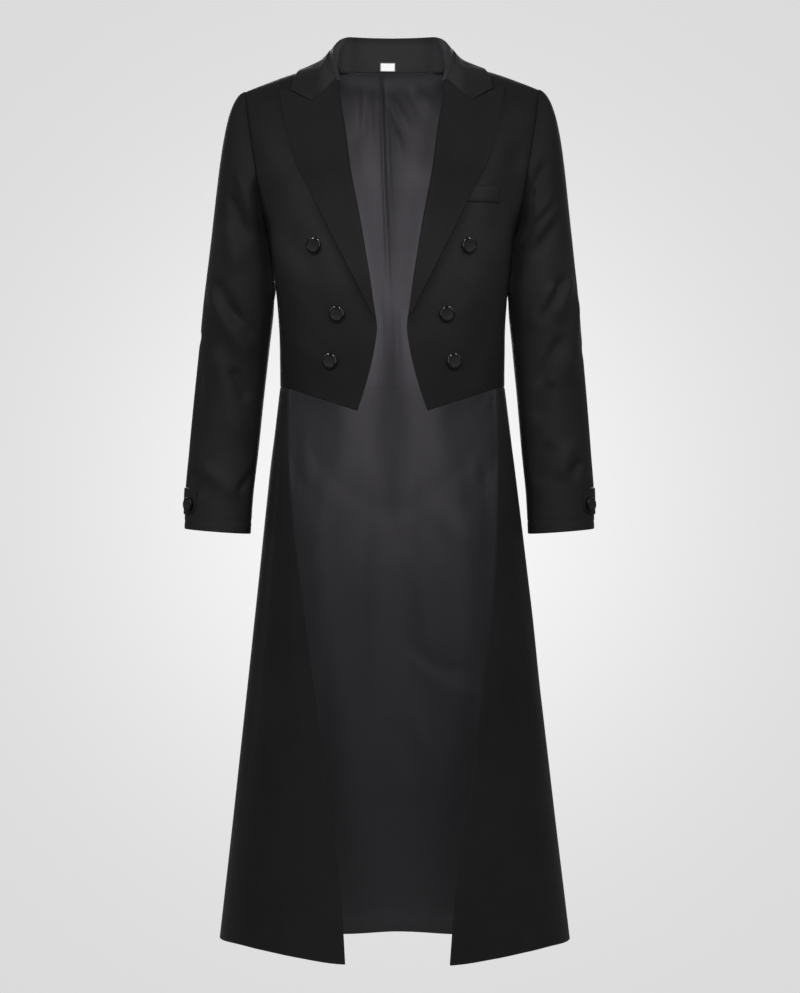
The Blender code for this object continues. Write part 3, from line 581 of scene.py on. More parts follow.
def round_faces(place: Faces) -> Faces:
    """Four-sided faces between rings of vertex numbers, each ring closed on itself."""
    after = np.roll(place, -1, axis=1)
    return np.stack([place[:-1], after[:-1], after[1:], place[1:]], axis=-1).reshape(-1, 4)


def put(name: str, data: bpy.types.ID) -> Piece:
    """A new object with its data, linked to the scene."""
    made = bpy.data.objects.new(name, data)
    bpy.context.scene.collection.objects.link(made)
    return made


def make_piece(name: str, points: Grid, faces: Faces, chart: Grid, looks: Sequence[Look],
               skin: Faces, values: dict[str, Grid]) -> Piece:
    """Make a smooth-shaded mesh object at the origin.

    Args:
        name: the object's name.
        points: its vertices.
        faces: four-sided faces, as rows of vertex numbers.
        chart: each vertex's place on the cloth, in metres, which becomes the map "cloth".
        looks: its materials.
        skin: which material each face has.
        values: further numbers for each vertex, by name.

    Returns:
        The new object, linked to the scene.
    """
    mesh = bpy.data.meshes.new(name)
    mesh.from_pydata(points.tolist(), [], faces.tolist())
    layer = mesh.uv_layers.new(name="cloth")
    layer.data.foreach_set("uv", chart[faces.reshape(-1)].astype(np.float32).reshape(-1))
    for key, numbers in values.items():
        stored = mesh.attributes.new(key, "FLOAT", "POINT")
        stored.data.foreach_set("value", numbers.astype(np.float32))
    for look in looks:
        mesh.materials.append(look)
    mesh.polygons.foreach_set("material_index", skin.astype(np.int32))
    mesh.shade_smooth()
    mesh.update()
    return put(name, mesh)


def enter(piece: Piece, node: str) -> Piece:
    """Let a piece ride on the coat and stand for its solid."""
    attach(piece, "root")
    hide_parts(node)
    LOG.info("made %s, %d faces", piece.name, len(piece.data.polygons))
    return piece


# ---- the form that the coat hangs on ---------
@dataclass(frozen=True)
class Body:
    """The rounded rings that the fronts, backs, lapels and collar lie on."""

    square: float = SQUARE
    chest_z: float = CHEST_Z
    front_round: float = FRONT_ROUND
    back_round: float = BACK_ROUND

    def ring_size(self, z: Grid, side: Grid | int) -> tuple[Grid, Grid]:
        """Half width and depth of the ring at a height; side is -1 in front and +1 behind."""
        low = np.minimum(z, self.chest_z)
        front, back = smooth(TORSO, "front", low), smooth(TORSO, "back", low)
        depth = np.where(np.asarray(side) < 0, front, back)
        return smooth(TORSO, "half_width", low), depth

    def depth_at(self, x: Grid, z: Grid, side: int) -> Grid:
        """How far the surface lies from the side line.

        Each ring is a superellipse: depth times the root of one less the width's power. Above the
        chest that is narrowed by another superellipse that closes on the line of the shoulder.
        """
        half, depth = self.ring_size(z, side)
        across = np.clip(np.abs(x) / half, 0, 1)
        depth = depth * (1 - across ** self.square) ** (1 / self.square)
        rise, power = np.clip(self.rise_to_shoulder(x, z), 0, 1), self.round_of(side)
        return depth * (1 - rise ** power) ** (1 / power)

    def rise_to_shoulder(self, x: Grid, z: Grid) -> Grid:
        """Share of the way from the chest up to the shoulder's line."""
        ridge = smooth(SHOULDER, "z", np.abs(x), key="x")
        return (z - self.chest_z) / (ridge - self.chest_z)

    def round_of(self, side: int) -> float:
        """The power that rounds the shoulder in front or behind."""
        return self.front_round if side < 0 else self.back_round

    def point(self, x: Grid, z: Grid, side: int) -> Grid:
        """Points of the surface at given widths and heights."""
        x, z = np.broadcast_arrays(np.asarray(x, dtype=float), np.asarray(z, dtype=float))
        return np.stack([x, side * self.depth_at(x, z, side), z], axis=-1)

    def level(self, points: Grid, side: int) -> Grid:
        """Nothing on the surface, below it inside and above it outside."""
        x, y, z = np.abs(points[..., 0]), np.abs(points[..., 1]), points[..., 2]
        half, depth = self.ring_size(z, side)
        across = np.clip(x / half, 0, 2)
        rise, power = np.maximum(self.rise_to_shoulder(x, z), 0), self.round_of(side)
        narrowed = depth * np.maximum(1 - across ** self.square, 1e-4) ** (1 / self.square)
        above = (y / narrowed) ** power + rise ** power - 1
        below = across ** self.square + (y / depth) ** self.square - 1
        return np.where(z > self.chest_z, above, below)

    def slope(self, points: Grid, side: int) -> Grid:
        """How fast the level grows along each axis, from a small step each way."""
        steps = [(self.level(points + axis * SMALL, side) - self.level(points - axis * SMALL, side))
                 for axis in np.eye(3)]
        return np.stack(steps, axis=-1) / (2 * SMALL)

    def normal(self, points: Grid, side: int) -> Grid:
        """The way out of the body."""
        return unit(self.slope(points, side))

    def rest_on(self, points: Grid, lift: float) -> Grid:
        """Move points that lie under the lift out to it along the slope, in four steps."""
        moved = points.copy()
        for _ in range(4):
            side = np.where(moved[..., 1] < 0, -1.0, 1.0)
            for way in (-1, 1):
                slope = self.slope(moved, way)
                size = np.linalg.norm(slope, axis=-1, keepdims=True)
                height = self.level(moved, way)[..., None] / size
                push = np.maximum(lift - height, 0) * slope / size
                moved = np.where((side == way)[..., None], moved + push, moved)
        return moved

    def turn_of(self, x: Grid | float, z: Grid | float) -> Grid:
        """How far round its ring a width lies: nothing at the middle, a right angle at the side."""
        half = self.ring_size(z, -1)[0]
        return np.arcsin(np.clip(np.abs(x) / half, 0, 1) ** (self.square / 2))

    def width_at(self, turn: Grid, z: Grid | float) -> Grid:
        """The width that lies so far round the ring."""
        return self.ring_size(z, -1)[0] * np.sin(turn) ** (2 / self.square)


BODY = Body()


# ---- finishes --------------------------------
class NodeSketch:
    """Short ways to put nodes in the tree of a material or a world."""

    def __init__(self, owner: bpy.types.ID) -> None:
        """Work in the owner's tree."""
        self.owner = owner
        self.owner.use_nodes = True
        self.tree = owner.node_tree

    @classmethod
    def material(cls, name: str) -> "NodeSketch":
        """Start a new Principled material."""
        return cls(bpy.data.materials.new(name))

    def add(self, kind: str, inputs: Optional[dict[str | int, object]] = None,
            **settings: object) -> bpy.types.Node:
        """A node of a kind, with its settings and its inputs, each a number or a link."""
        node = self.tree.nodes.new(kind)
        for key, value in settings.items():
            setattr(node, key, value)
        for key, value in (inputs or {}).items():
            self.feed(node.inputs[key], value)
        return node

    def feed(self, socket: Socket, value: object) -> None:
        """Give a socket a number, or link another socket to it."""
        if isinstance(value, Socket):
            self.tree.links.new(value, socket)
        else:
            socket.default_value = value

    def sum(self, operation: str, *values: object) -> Socket:
        """The result of a Math node on up to three values."""
        node = self.add("ShaderNodeMath", operation=operation)
        for socket, value in zip(node.inputs, values):
            self.feed(socket, value)
        return node.outputs[0]

    def band(self, value: object, low: float, high: float) -> Socket:
        """A number brought from low..high to 0..1 and held there."""
        node = self.add("ShaderNodeMapRange", {"Value": value, "From Min": low, "From Max": high})
        node.clamp = True
        return node.outputs["Result"]

    def wave(self, value: object, pitch: float) -> Socket:
        """A sine of a length, with a pitch in metres."""
        return self.sum("SINE", self.sum("MULTIPLY", value, 2 * pi / pitch))

    def noise(self, vector: object, scale: float, detail: float = 2.0) -> Socket:
        """Noise from 0 to 1 with so many cells a metre."""
        node = self.add("ShaderNodeTexNoise", {"Vector": vector, "Scale": scale, "Detail": detail})
        return node.outputs["Fac"]

    def drawn_noise(self, vector: object, squeeze: tuple[float, float, float],
                    scale: float) -> Socket:
        """Noise drawn out along the axis whose squeeze is small."""
        node = self.add("ShaderNodeMapping", {"Vector": vector, "Scale": squeeze})
        return self.noise(node.outputs["Vector"], scale)

    def grow(self, value: object, amount: object, base: object) -> Socket:
        """The base plus an amount times a value."""
        return self.sum("MULTIPLY_ADD", value, amount, base)

    def vary(self, value: object, amount: float, base: object) -> Socket:
        """The base, raised or lowered by an amount times how far a noise is from its middle."""
        return self.grow(self.sum("SUBTRACT", value, 0.5), amount, base)

    def less(self, value: object) -> Socket:
        """One less a number."""
        return self.sum("SUBTRACT", 1.0, value)

    def stitch(self, inset: float, narrow: float, wide: float, dash: object) -> Socket:
        """A dashed line that runs inside a turned edge, one on the line and nothing beside it."""
        line = self.sum("ABSOLUTE", self.sum("SUBTRACT", self.number("edge"), inset))
        return self.sum("MULTIPLY", self.less(self.band(line, narrow, wide)), dash)

    def ramp(self, value: object, stops: Stops) -> Socket:
        """A grey read off a row of stops, each a place from 0 to 1 and a tone."""
        node = self.add("ShaderNodeValToRGB", {"Fac": value})
        node.color_ramp.interpolation = "B_SPLINE"
        marks = node.color_ramp.elements
        while len(marks) < len(stops):
            marks.new(0.5)
        for mark, (place, tone) in zip(marks, stops):
            mark.position = place
            mark.color = (tone, tone, tone, 1.0)
        return node.outputs["Color"]

    def mix(self, share: object, first: object, second: object) -> Socket:
        """A colour between two colours or links."""
        node = self.add("ShaderNodeMix", data_type="RGBA")
        self.feed(node.inputs["Factor"], share)
        self.feed(node.inputs["A"], first)
        self.feed(node.inputs["B"], second)
        return node.outputs["Result"]

    def places(self) -> tuple[Socket, Socket, Socket]:
        """The place on the cloth as a vector, and its two coordinates across and down."""
        chart = self.add("ShaderNodeUVMap", uv_map="cloth").outputs["UV"]
        parts = self.add("ShaderNodeSeparateXYZ", {"Vector": chart})
        return chart, parts.outputs["X"], parts.outputs["Y"]

    def object_place(self) -> Socket:
        """The place in the coat's own frame."""
        return self.add("ShaderNodeTexCoord").outputs["Object"]

    def aside(self) -> Socket:
        """How far a place lies from the coat's middle, to either side."""
        parts = self.add("ShaderNodeSeparateXYZ", {"Vector": self.object_place()})
        return self.sum("ABSOLUTE", parts.outputs["X"])

    def number(self, name: str) -> Socket:
        """A number stored on the mesh."""
        return self.add("ShaderNodeAttribute", attribute_name=name).outputs["Fac"]

    def by_height(self, stops: Stops) -> Socket:
        """A number read off a row of stops, each a height in the coat's frame and a tone."""
        height = self.add("ShaderNodeSeparateXYZ", {"Vector": self.object_place()}).outputs["Z"]
        low, high = stops[0][0], stops[-1][0]
        return self.ramp(self.band(height, low, high),
                         [((place - low) / (high - low), tone) for place, tone in stops])

    def scaled(self, colour: object, share: object) -> Socket:
        """A colour times a number."""
        node = self.add("ShaderNodeVectorMath", {"Vector": colour, "Scale": share},
                        operation="SCALE")
        return node.outputs["Vector"]

    def bump(self, height: object, strength: float, distance: float) -> Socket:
        """A normal bumped by a height."""
        return self.add("ShaderNodeBump", {"Height": height, "Strength": strength,
                                           "Distance": distance}).outputs["Normal"]

    def finish(self, sockets: dict[str, object]) -> Look:
        """Feed the shader's own sockets and return the material."""
        shader = self.tree.nodes["Principled BSDF"]
        for key, value in sockets.items():
            self.feed(shader.inputs[key], value)
        return self.owner


def grey(value: float, warmth: float = 0.0, cool: float = 0.0) -> tuple[float, float, float, float]:
    """A grey with a little more red or blue."""
    return (value * (1 + warmth), value, value * (1 + cool), 1.0)


@dataclass(frozen=True)
class Suiting:
    """Black worsted: a fine steep twill, a short nap, cloudy tone and edges rubbed bright."""

    name: str
    dark: float
    light: float
    gloss: float
    # painted light and shade by height
    tones: Stops = ()
    roughness: float = 0.6
    pitch: float = 0.0011
    twill_slope: float = 0.62
    sheen: float = 0.02
    bump: float = 0.22
    stitched: bool = False
    stitch: float = 0.0042
    stitch_inset: float = 0.0024
    stand: float = 0.0
    stand_tone: float = 0.021
    # painted light on the sleeve's inner side, as a share
    inward: float = 0.0

    def make(self) -> Look:
        """Build the material: threads from the cloth's map, clouds from the coat's frame."""
        ink = NodeSketch.material(self.name)
        chart, across, down = ink.places()
        body = ink.object_place()
        slant = ink.sum("ADD", across, ink.sum("MULTIPLY", down, self.twill_slope))
        twill = ink.wave(slant, self.pitch)
        weft = ink.wave(down, self.pitch * 0.55)
        slub = ink.drawn_noise(chart, (1.0, 0.12, 1.0), 900.0)
        patch = ink.noise(body, 22.0)
        rubbed = ink.less(ink.band(ink.number("edge"), 0.0004, 0.0026))
        # painted shade: one at a seam, nothing 1.6 mm from it
        seam = ink.less(ink.band(ink.number("seam"), 0.0002, 0.0016))
        tone = ink.vary(ink.noise(body, 5.5, 3.0), 0.95, 0.34)
        tone = ink.vary(patch, 0.35, tone)
        tone = ink.grow(twill, 0.07, tone)
        tone = ink.vary(slub, 0.45, tone)
        tone = ink.grow(rubbed, 0.1, tone)
        # painted shade darkens the cloth in the valley beside each seam
        tone = ink.grow(seam, -0.3, tone)
        height = ink.grow(weft, 0.35, twill)
        height = ink.grow(slub, 1.3, height)
        height = ink.grow(ink.noise(chart, 2600.0, 1.0), 0.9, height)
        if self.stitched:
            dash = ink.band(ink.wave(ink.number("run"), self.stitch), 0.1, 0.4)
            pick = ink.stitch(self.stitch_inset, 0.0002, 0.0006, dash)
            height = ink.grow(pick, -3.0, height)
            tone = ink.grow(pick, -0.25, tone)
        tone = ink.add("ShaderNodeClamp", {"Value": tone}).outputs["Result"]
        colour = ink.mix(tone, grey(self.dark, cool=0.06), grey(self.light, cool=0.07))
        rough = ink.vary(patch, 0.16, self.roughness)
        rough = ink.grow(rubbed, -0.1, rough)
        return ink.finish({
            "Base Color": self.shaded(ink, colour, across),
            "Roughness": rough, "Specular IOR Level": self.gloss, "Sheen Weight": self.sheen,
            "Sheen Roughness": 0.45, "Sheen Tint": (0.62, 0.62, 0.66, 1.0),
            "Normal": ink.bump(height, self.bump, 0.00012)})

    def shaded(self, ink: NodeSketch, colour: object, across: object) -> Socket:
        """The colour with its painted light and shade: by height, beside the lapels, inwards and on
        the stand.

        Args:
            ink: the material's sketch.
            colour: the cloth's own colour.
            across: the place across the cloth.

        Returns:
            The colour times each share in turn; on the stand it is another colour.
        """
        # painted shade: the front darkens beside the lapel's lower edge
        pressed = ink.grow(ink.number("pressed"), -0.46, 1.0)
        colour = ink.scaled(colour, pressed)
        # painted light and shade by height
        if self.tones:
            colour = ink.scaled(colour, ink.by_height(self.tones))
        # painted light: the sleeve lightens towards its inner side, next to the body
        if self.inward:
            painted_inner_light = ink.band(ink.aside(), 0.285, 0.2)
            colour = ink.scaled(colour, ink.grow(painted_inner_light, self.inward, 1.0))
        if self.stand:
            inside = ink.sum("MULTIPLY", ink.band(across, self.stand + 0.006, self.stand - 0.01),
                             ink.band(ink.aside(), 0.128, 0.086))
            colour = ink.mix(inside, colour, grey(self.stand_tone, warmth=0.02, cool=0.07))
            # painted light: the stand is lightened where it turns forward at both sides of the neck
            turned = ink.sum("MULTIPLY", ink.band(ink.aside(), 0.058, 0.074),
                             ink.band(ink.aside(), 0.0815, 0.0775))
            colour = ink.scaled(colour, ink.grow(turned, 0.65, 1.0))
        return colour


@dataclass(frozen=True)
class Satin:
    """Charcoal lining: a smooth satin with fine ribs, paler at the top than towards the hem.

    The painted light and shade run by height: middle raises the tone near the coat's middle line as
    painted light, and hollow lowers it close to that line as painted shade.
    """

    name: str
    roughness: float = 0.55
    warmth: float = 1.06
    cool: float = 1.12
    # painted light near the coat's middle line, by height
    middle: Stops = (
        (-1.34, 0.0), (-0.95, 0.05), (-0.76, 0.3), (-0.66, 0.42), (-0.55, 0.1), (-0.44, 0.0),
        (0.02, 0.0),
    )
    # painted shade close to the coat's middle line, by height
    hollow: Stops = (
        (-0.6, 0.0), (-0.5, 0.12), (-0.41, 0.1), (-0.34, 0.45), (-0.26, 0.62), (-0.15, 0.6),
        (-0.05, 0.2), (0.02, 0.0),
    )
    # painted light and shade by height: paler at the top, darker towards the hem
    tones: Stops = (
        (-1.34, 0.018), (-1.22, 0.0172), (-1.1, 0.0195), (-0.95, 0.0268), (-0.8, 0.0255),
        (-0.66, 0.038), (-0.55, 0.09), (-0.48, 0.112), (-0.4, 0.235), (-0.3, 0.19),
        (-0.15, 0.108), (-0.04, 0.05), (-0.012, 0.036), (0.02, 0.036),
    )

    def make(self) -> Look:
        """Build the material: the tone fades with height, ribs and slubs run with the cloth."""
        ink = NodeSketch.material(self.name)
        chart, across, down = ink.places()
        streak = ink.drawn_noise(chart, (1.0, 0.1, 1.0), 420.0)
        cloud = ink.noise(ink.object_place(), 7.0, 3.0)
        share = ink.vary(streak, 0.12, ink.vary(cloud, 0.3, 1.0))
        # painted light near the coat's middle line
        middle = ink.band(ink.aside(), 0.085, 0.01)
        share = ink.grow(middle, ink.by_height(self.middle), share)
        # painted shade close to the coat's middle line
        centre = ink.band(ink.aside(), 0.046, 0.004)
        share = ink.sum("SUBTRACT", share, ink.sum("MULTIPLY", centre, ink.by_height(self.hollow)))
        tone = ink.sum("MULTIPLY", ink.by_height(self.tones), share)
        colour = ink.add("ShaderNodeCombineColor", {
            "Red": ink.sum("MULTIPLY", tone, self.warmth), "Green": tone,
            "Blue": ink.sum("MULTIPLY", tone, self.cool)})
        height = ink.grow(ink.wave(down, 0.0009), 0.4, ink.wave(across, 0.0007))
        height = ink.grow(streak, 2.2, height)
        return ink.finish({
            "Base Color": colour.outputs["Color"], "Specular IOR Level": 0.16,
            "Roughness": ink.vary(cloud, 0.1, self.roughness),
            "Anisotropic": 0.3, "Sheen Weight": 0.04,
            "Sheen Roughness": 0.4, "Normal": ink.bump(height, 0.16, 0.00008)})


@dataclass(frozen=True)
class Gloss:
    """Polished black button rim with fine handling scratches."""

    name: str
    colour: float = 0.0008

    def make(self) -> Look:
        """Build the material: scratches are stretched noise in the roughness and a faint bump."""
        ink = NodeSketch.material(self.name)
        body = ink.object_place()
        scratch = ink.drawn_noise(body, (1.0, 1.0, 0.15), 2400.0)
        smear = ink.noise(body, 260.0)
        rough = ink.grow(scratch, 0.06, ink.grow(smear, 0.06, 0.06))
        return ink.finish({
            "Base Color": ink.mix(smear, grey(self.colour), grey(self.colour * 2)),
            "Roughness": rough, "IOR": 1.5, "Specular IOR Level": 0.27,
            "Normal": ink.bump(scratch, 0.05, 0.00003)})


@dataclass(frozen=True)
class Matt:
    """The button's dished centre: matt black with a fine pebble."""

    name: str
    colour: float = 0.013

    def make(self) -> Look:
        """Build the material: the pebble is fine noise in bump and tone."""
        ink = NodeSketch.material(self.name)
        body = ink.object_place()
        cloud = ink.noise(body, 320.0)
        return ink.finish({
            "Base Color": ink.mix(cloud, grey(self.colour * 0.6), grey(self.colour * 1.3)),
            "Roughness": ink.grow(cloud, 0.2, 0.5), "Specular IOR Level": 0.1,
            "Normal": ink.bump(ink.noise(body, 2300.0), 0.35, 0.0001)})


@dataclass(frozen=True)
class Tape:
    """The blank label's white woven tape, sewn down near its border."""

    name: str
    colour: float = 0.86

    def make(self) -> Look:
        """Build the material: two waves weave the tape, and stitches run inside its border."""
        ink = NodeSketch.material(self.name)
        _, across, down = ink.places()
        weave = ink.sum("MULTIPLY", ink.wave(across, 0.0006), ink.wave(down, 0.0006))
        # the tape turns nearly black within about a millimetre of its border
        hem = ink.less(ink.band(ink.number("edge"), 0.0008, 0.0013))
        dash = ink.band(ink.wave(ink.number("run"), 0.0019), -0.2, 0.3)
        stitch = ink.stitch(0.0019, 0.0001, 0.0004, dash)
        tone = ink.sum("ADD", ink.sum("MULTIPLY", hem, 0.9), ink.sum("MULTIPLY", stitch, 0.25))
        tone = ink.grow(weave, 0.03, tone)
        tone = ink.add("ShaderNodeClamp", {"Value": tone}).outputs["Result"]
        return ink.finish({
            "Base Color": ink.mix(tone, grey(self.colour, 0.01), grey(0.04)),
            "Roughness": 0.62, "Specular IOR Level": 0.3, "Sheen Weight": 0.1,
            "Normal": ink.bump(weave, 0.3, 0.0001)})


# Painted light and shade: each table lightens or darkens a piece's cloth by height, as the light
# falls on it
FRONT_PAINTED_SHADING: Stops = (
    (-0.53, 0.44), (-0.47, 0.46), (-0.41, 0.57), (-0.34, 0.76), (-0.27, 1.05), (-0.2, 0.96),
    (-0.12, 0.46), (0.02, 0.36),
)
SLEEVE_PAINTED_SHADING: Stops = (
    (-0.72, 1), (-0.45, 0.92), (-0.33, 1.1), (-0.25, 0.96), (-0.13, 0.58), (0, 0.6),
)
SKIRT_PAINTED_SHADING: Stops = (
    (-1.35, 0.67), (-1, 0.66), (-0.7, 0.68), (-0.56, 0.98), (-0.47, 1.15),
)
LAPEL_PAINTED_SHADING: Stops = (
    (-0.38, 0.84), (-0.29, 1), (-0.23, 0.9), (-0.16, 0.55), (-0.08, 0.54), (-0.045, 0.64),
    (0, 0.7),
)
COLLAR_PAINTED_SHADING: Stops = (
    (-0.07, 0.88), (-0.03, 0.94), (-0.005, 1), (0.02, 0.86), (0.07, 0.82),
)


@dataclass(frozen=True)
class Wardrobe:
    """The finishes of the whole coat, made once."""

    suiting: Look
    sleeve: Look
    skirt: Look
    lapel: Look
    collar: Look
    lining: Look
    gloss: Look
    matt: Look
    tape: Look

    @classmethod
    def make(cls) -> "Wardrobe":
        """Build every finish."""
        # painted light and shade: the copies of the one black worsted have their own dark and light
        # greys, darker on the sleeves, skirt, lapels and collar than on the fronts
        return cls(
            suiting=Suiting("suiting_front", dark=0.0124, light=0.0254, gloss=0.08, stitched=True,
                            tones=FRONT_PAINTED_SHADING).make(),
            sleeve=Suiting("suiting_sleeve", dark=0.0066, light=0.0142, gloss=0.09, roughness=0.58,
                           inward=0.28, tones=SLEEVE_PAINTED_SHADING).make(),
            skirt=Suiting("suiting_skirt", dark=0.0089, light=0.0168, gloss=0.075, roughness=0.66,
                          tones=SKIRT_PAINTED_SHADING).make(),
            lapel=Suiting("suiting_lapel", dark=0.0098, light=0.0194, gloss=0.07, stitched=True,
                          tones=LAPEL_PAINTED_SHADING).make(),
            collar=Suiting("suiting_collar", dark=0.0083, light=0.0166, gloss=0.07, stitched=True,
                           stand=0.052, tones=COLLAR_PAINTED_SHADING).make(),
            lining=Satin("satin_lining").make(),
            gloss=Gloss("gloss_rim").make(),
            matt=Matt("matt_centre").make(),
            tape=Tape("label_tape").make())


# ---- fronts, backs and their lining ----------
RIGHT_FRONT: Creases = table(
    Crease,
    (200, -85, 60, -335, -2.9, 22, -12), (205, -165, 95, -335, 2.6, 18, -10),
    (199, -205, 92, -397, -2.3, 18, -8), (165, -300, 60, -420, 1.7, 16),
    (160, -395, 63, -490, -1.3, 14), (150, -470, 165, -300, 1.6, 14),
)
LEFT_FRONT: Creases = table(
    Crease,
    (177, -90, 125, -300, -2.9, 18, 10), (198, -110, 165, -300, 2.3, 16, 8),
    (169, -248, 86, -397, -2.1, 20), (161, -352, 101, -494, 1.8, 18),
    (120, -330, 45, -400, 1.4, 14), (165, -460, 150, -300, -1.3, 14),
)


def front_dent(side: Side, x: Grid, z: Grid) -> Grid:
    """How deep a front's creases are at a width and height, fading to nothing at its edge."""
    inward = ease((x - smooth(FRONT_EDGE, "x", z)) / 0.02)
    return relief(LEFT_FRONT if side is Side.LEFT else RIGHT_FRONT, x, z) * inward


def line_with(node: str, points: Grid, outward: Grid, offset: Grid, wardrobe: Wardrobe, cut: Cut,
              rests_on: str) -> None:
    """Make a lining: the cloth's own points, moved in by an offset and level at the waist.

    Args:
        node: the solid that it stands for.
        points: the cloth's outer points.
        outward: the way out of the cloth.
        offset: how far inside the points the lining's outer face lies.
        wardrobe: the finishes.
        cut: the lining's flat size; not used.
        rests_on: the piece that it hangs against; not used.
    """
    outward = level_at_waist(outward, points)
    Panel(node, hang(points - outward * offset[..., None]), outward,
          Borders.all_round(Border.HIDDEN), (wardrobe.lining, wardrobe.lining), thickness=LINING,
          rim_round=0.0).enter(Slot.LINING, cut, Held.HUNG, rests_on)


@dataclass(frozen=True)
class Bodice:
    """Both fronts, both backs and the lining inside the backs."""

    point_x: float = 0.0528
    point_z: float = -0.5167
    body_rows: int = 46
    head_rows: int = 42
    back_columns: int = 104
    slack: float = 0.007
    # painted shade beside the lapels' lower half: its width, top, fade, foot and rise
    pressed_width: float = 0.012
    pressed_top: float = -0.17
    pressed_fade: float = 0.08
    pressed_foot: float = -0.4
    pressed_rise: float = 0.03
    front_cut: Cut = Cut(0.213, 0.586, 0.095)
    back_cut: Cut = Cut(0.271, 0.55, 0.1176)
    lining_cut: Cut = Cut(0.537, 0.538, 0.224)
    right_back: Creases = table(
        Crease,
        (190, -120, 60, -250, 2.4, 18, -12), (196, -190, 80, -300, -2.2, 18, -10),
        (20, -60, 30, -330, 1.6, 18, 6), (165, -380, 30, -440, 1.8, 14, 8),
        (160, -430, 50, -462, -1.4, 12), (110, -60, 130, -190, -1.4, 22),
    )
    left_back: Creases = table(
        Crease,
        (192, -130, 70, -230, 2.2, 19, -10), (194, -205, 60, -320, -2.4, 17, -12),
        (30, -70, 18, -300, 1.4, 16, -6), (166, -350, 40, -430, 1.8, 15, 10),
        (140, -440, 20, -455, -1.2, 12), (95, -50, 120, -200, -1.6, 20),
    )
    lining_folds: Creases = table(
        Crease,
        (-16.5, 12, -2, -360, 7, 2.6, 2, 0, 0.05, 0.4), (-10, 0, 4, -290, -4.5, 5, 2, 0, 0.1, 0.5),
        (-9, -26, 30, -105, -4.5, 6, 0, 0, 0.2, 0.5), (0, -20, 34, -85, 4.5, 5.5, 0, 0, 0.3, 0.5),
        (4, -65, 19, -125, 3.9, 5, 0, 0, 0.3, 0.5), (24, -6, 74, -100, -4.5, 8, 0, 0, 0.2, 0.6),
        (36, -4, 84, -70, 3.3, 7, 0, 0, 0.3, 0.6), (30, -100, 66, -170, 3.3, 12, 0, 0, 0.4, 0.6),
        (-54, 1, -56, -85, 3.9, 10, 0, 0, 0.3, 0.5), (-32, -4, -35, -110, 3, 5, 0, 0, 0.3, 0.6),
        (-44, -10, -46, -120, -2.7, 4.5, 0, 0, 0.3, 0.6), (-66, -60, -40, -345, -3.6, 15, 4),
        (52, -120, 18, -390, -3.3, 16, -6), (14, -120, 9, -387, -2.1, 10),
        (-20, -330, -14, -470, 3.3, 6), (6, -350, 10, -474, -3.3, 6), (30, -300, 45, -470, 3, 10),
        (150, -110, 60, -240, 3.9, 14), (-150, -120, -70, -250, 3.9, 14),
        (155, -260, 80, -420, -3.6, 14), (-155, -240, -80, -430, -3.6, 14),
    )

    def head_shares(self) -> Grid:
        """Shares of the way from the underarm to the shoulder: half of one less a cosine."""
        return (1 - np.cos(np.linspace(0, pi, self.head_rows)[:, None])) / 2

    def front_grid(self) -> Grid:
        """Rows from the hem up to the shoulder, columns from the front edge to the side.

        A point's width is spaced by its angle round the ring, between the front edge's angle and
        the side's, and its height runs straight from the hem to the underarm, then on to the
        shoulder seam.
        """
        start = BODY.turn_of(self.point_x, WAIST_Z)
        tail = float((BODY.turn_of(TAIL_X, WAIST_Z) - start) / (pi / 2 - start))
        shares = np.concatenate([spread(0, tail, 38, 0.13)[:-1], spread(tail, 1, 16, 0.09)])
        across = BODY.width_at(start + (pi / 2 - start) * shares, WAIST_Z)
        hem = np.interp(across, [self.point_x, TAIL_X, across[-1]], [self.point_z, TAIL_Z, WAIST_Z])
        part = spread(0, 1, self.body_rows, 0.25)[:-4, None]
        z = hem + (UNDERARM_Z - hem) * part
        inner = BODY.turn_of(smooth(FRONT_EDGE, "x", z[:, :1]), z[:, :1])
        body = BODY.point(BODY.width_at(inner + (pi / 2 - inner) * shares, z), z, -1)
        ends = BODY.turn_of(np.array([NECK_X, SHOULDER_X]), 0.0)
        top_x = BODY.width_at(ends[0] + (ends[1] - ends[0]) * shares, 0.0)
        z = UNDERARM_Z + (smooth(SHOULDER, "z", top_x, key="x") - UNDERARM_Z) * self.head_shares()
        inner = BODY.turn_of(smooth(FRONT_EDGE, "x", z[:, :1]), z[:, :1])
        outer = BODY.turn_of(smooth(ARMHOLE, "x", z[:, -1:]), z[:, -1:])
        head = BODY.point(BODY.width_at(inner + (outer - inner) * shares, z), z, -1)
        return np.concatenate([body, head])

    def back_grid(self) -> Grid:
        """Rows from the waist up to the neck and shoulder, columns from the middle to the side."""
        end = BODY.turn_of(SHOULDER_X, 0.0)
        even = spread(0, 1, self.back_columns, 0.24)
        shares = even * (0.55 + 0.45 * even)
        top_x = BODY.width_at(end * shares, 0.0)
        neck = smooth(COLLAR[:BACK_STATIONS], "seam_z", np.minimum(top_x, NECK_X), key="seam_x")
        top_z = np.where(top_x < NECK_X, neck, smooth(SHOULDER, "z", top_x, key="x"))
        z = WAIST_Z + (UNDERARM_Z - WAIST_Z) * spread(0, 1, self.body_rows, 0.23)[:-4, None]
        body = BODY.point(BODY.width_at(pi / 2 * shares, z), z, 1)
        z = UNDERARM_Z + (top_z - UNDERARM_Z) * self.head_shares()
        outer = BODY.turn_of(smooth(ARMHOLE, "x", z[:, -1:]), z[:, -1:])
        return np.concatenate([body, BODY.point(BODY.width_at(outer * shares, z), z, 1)])

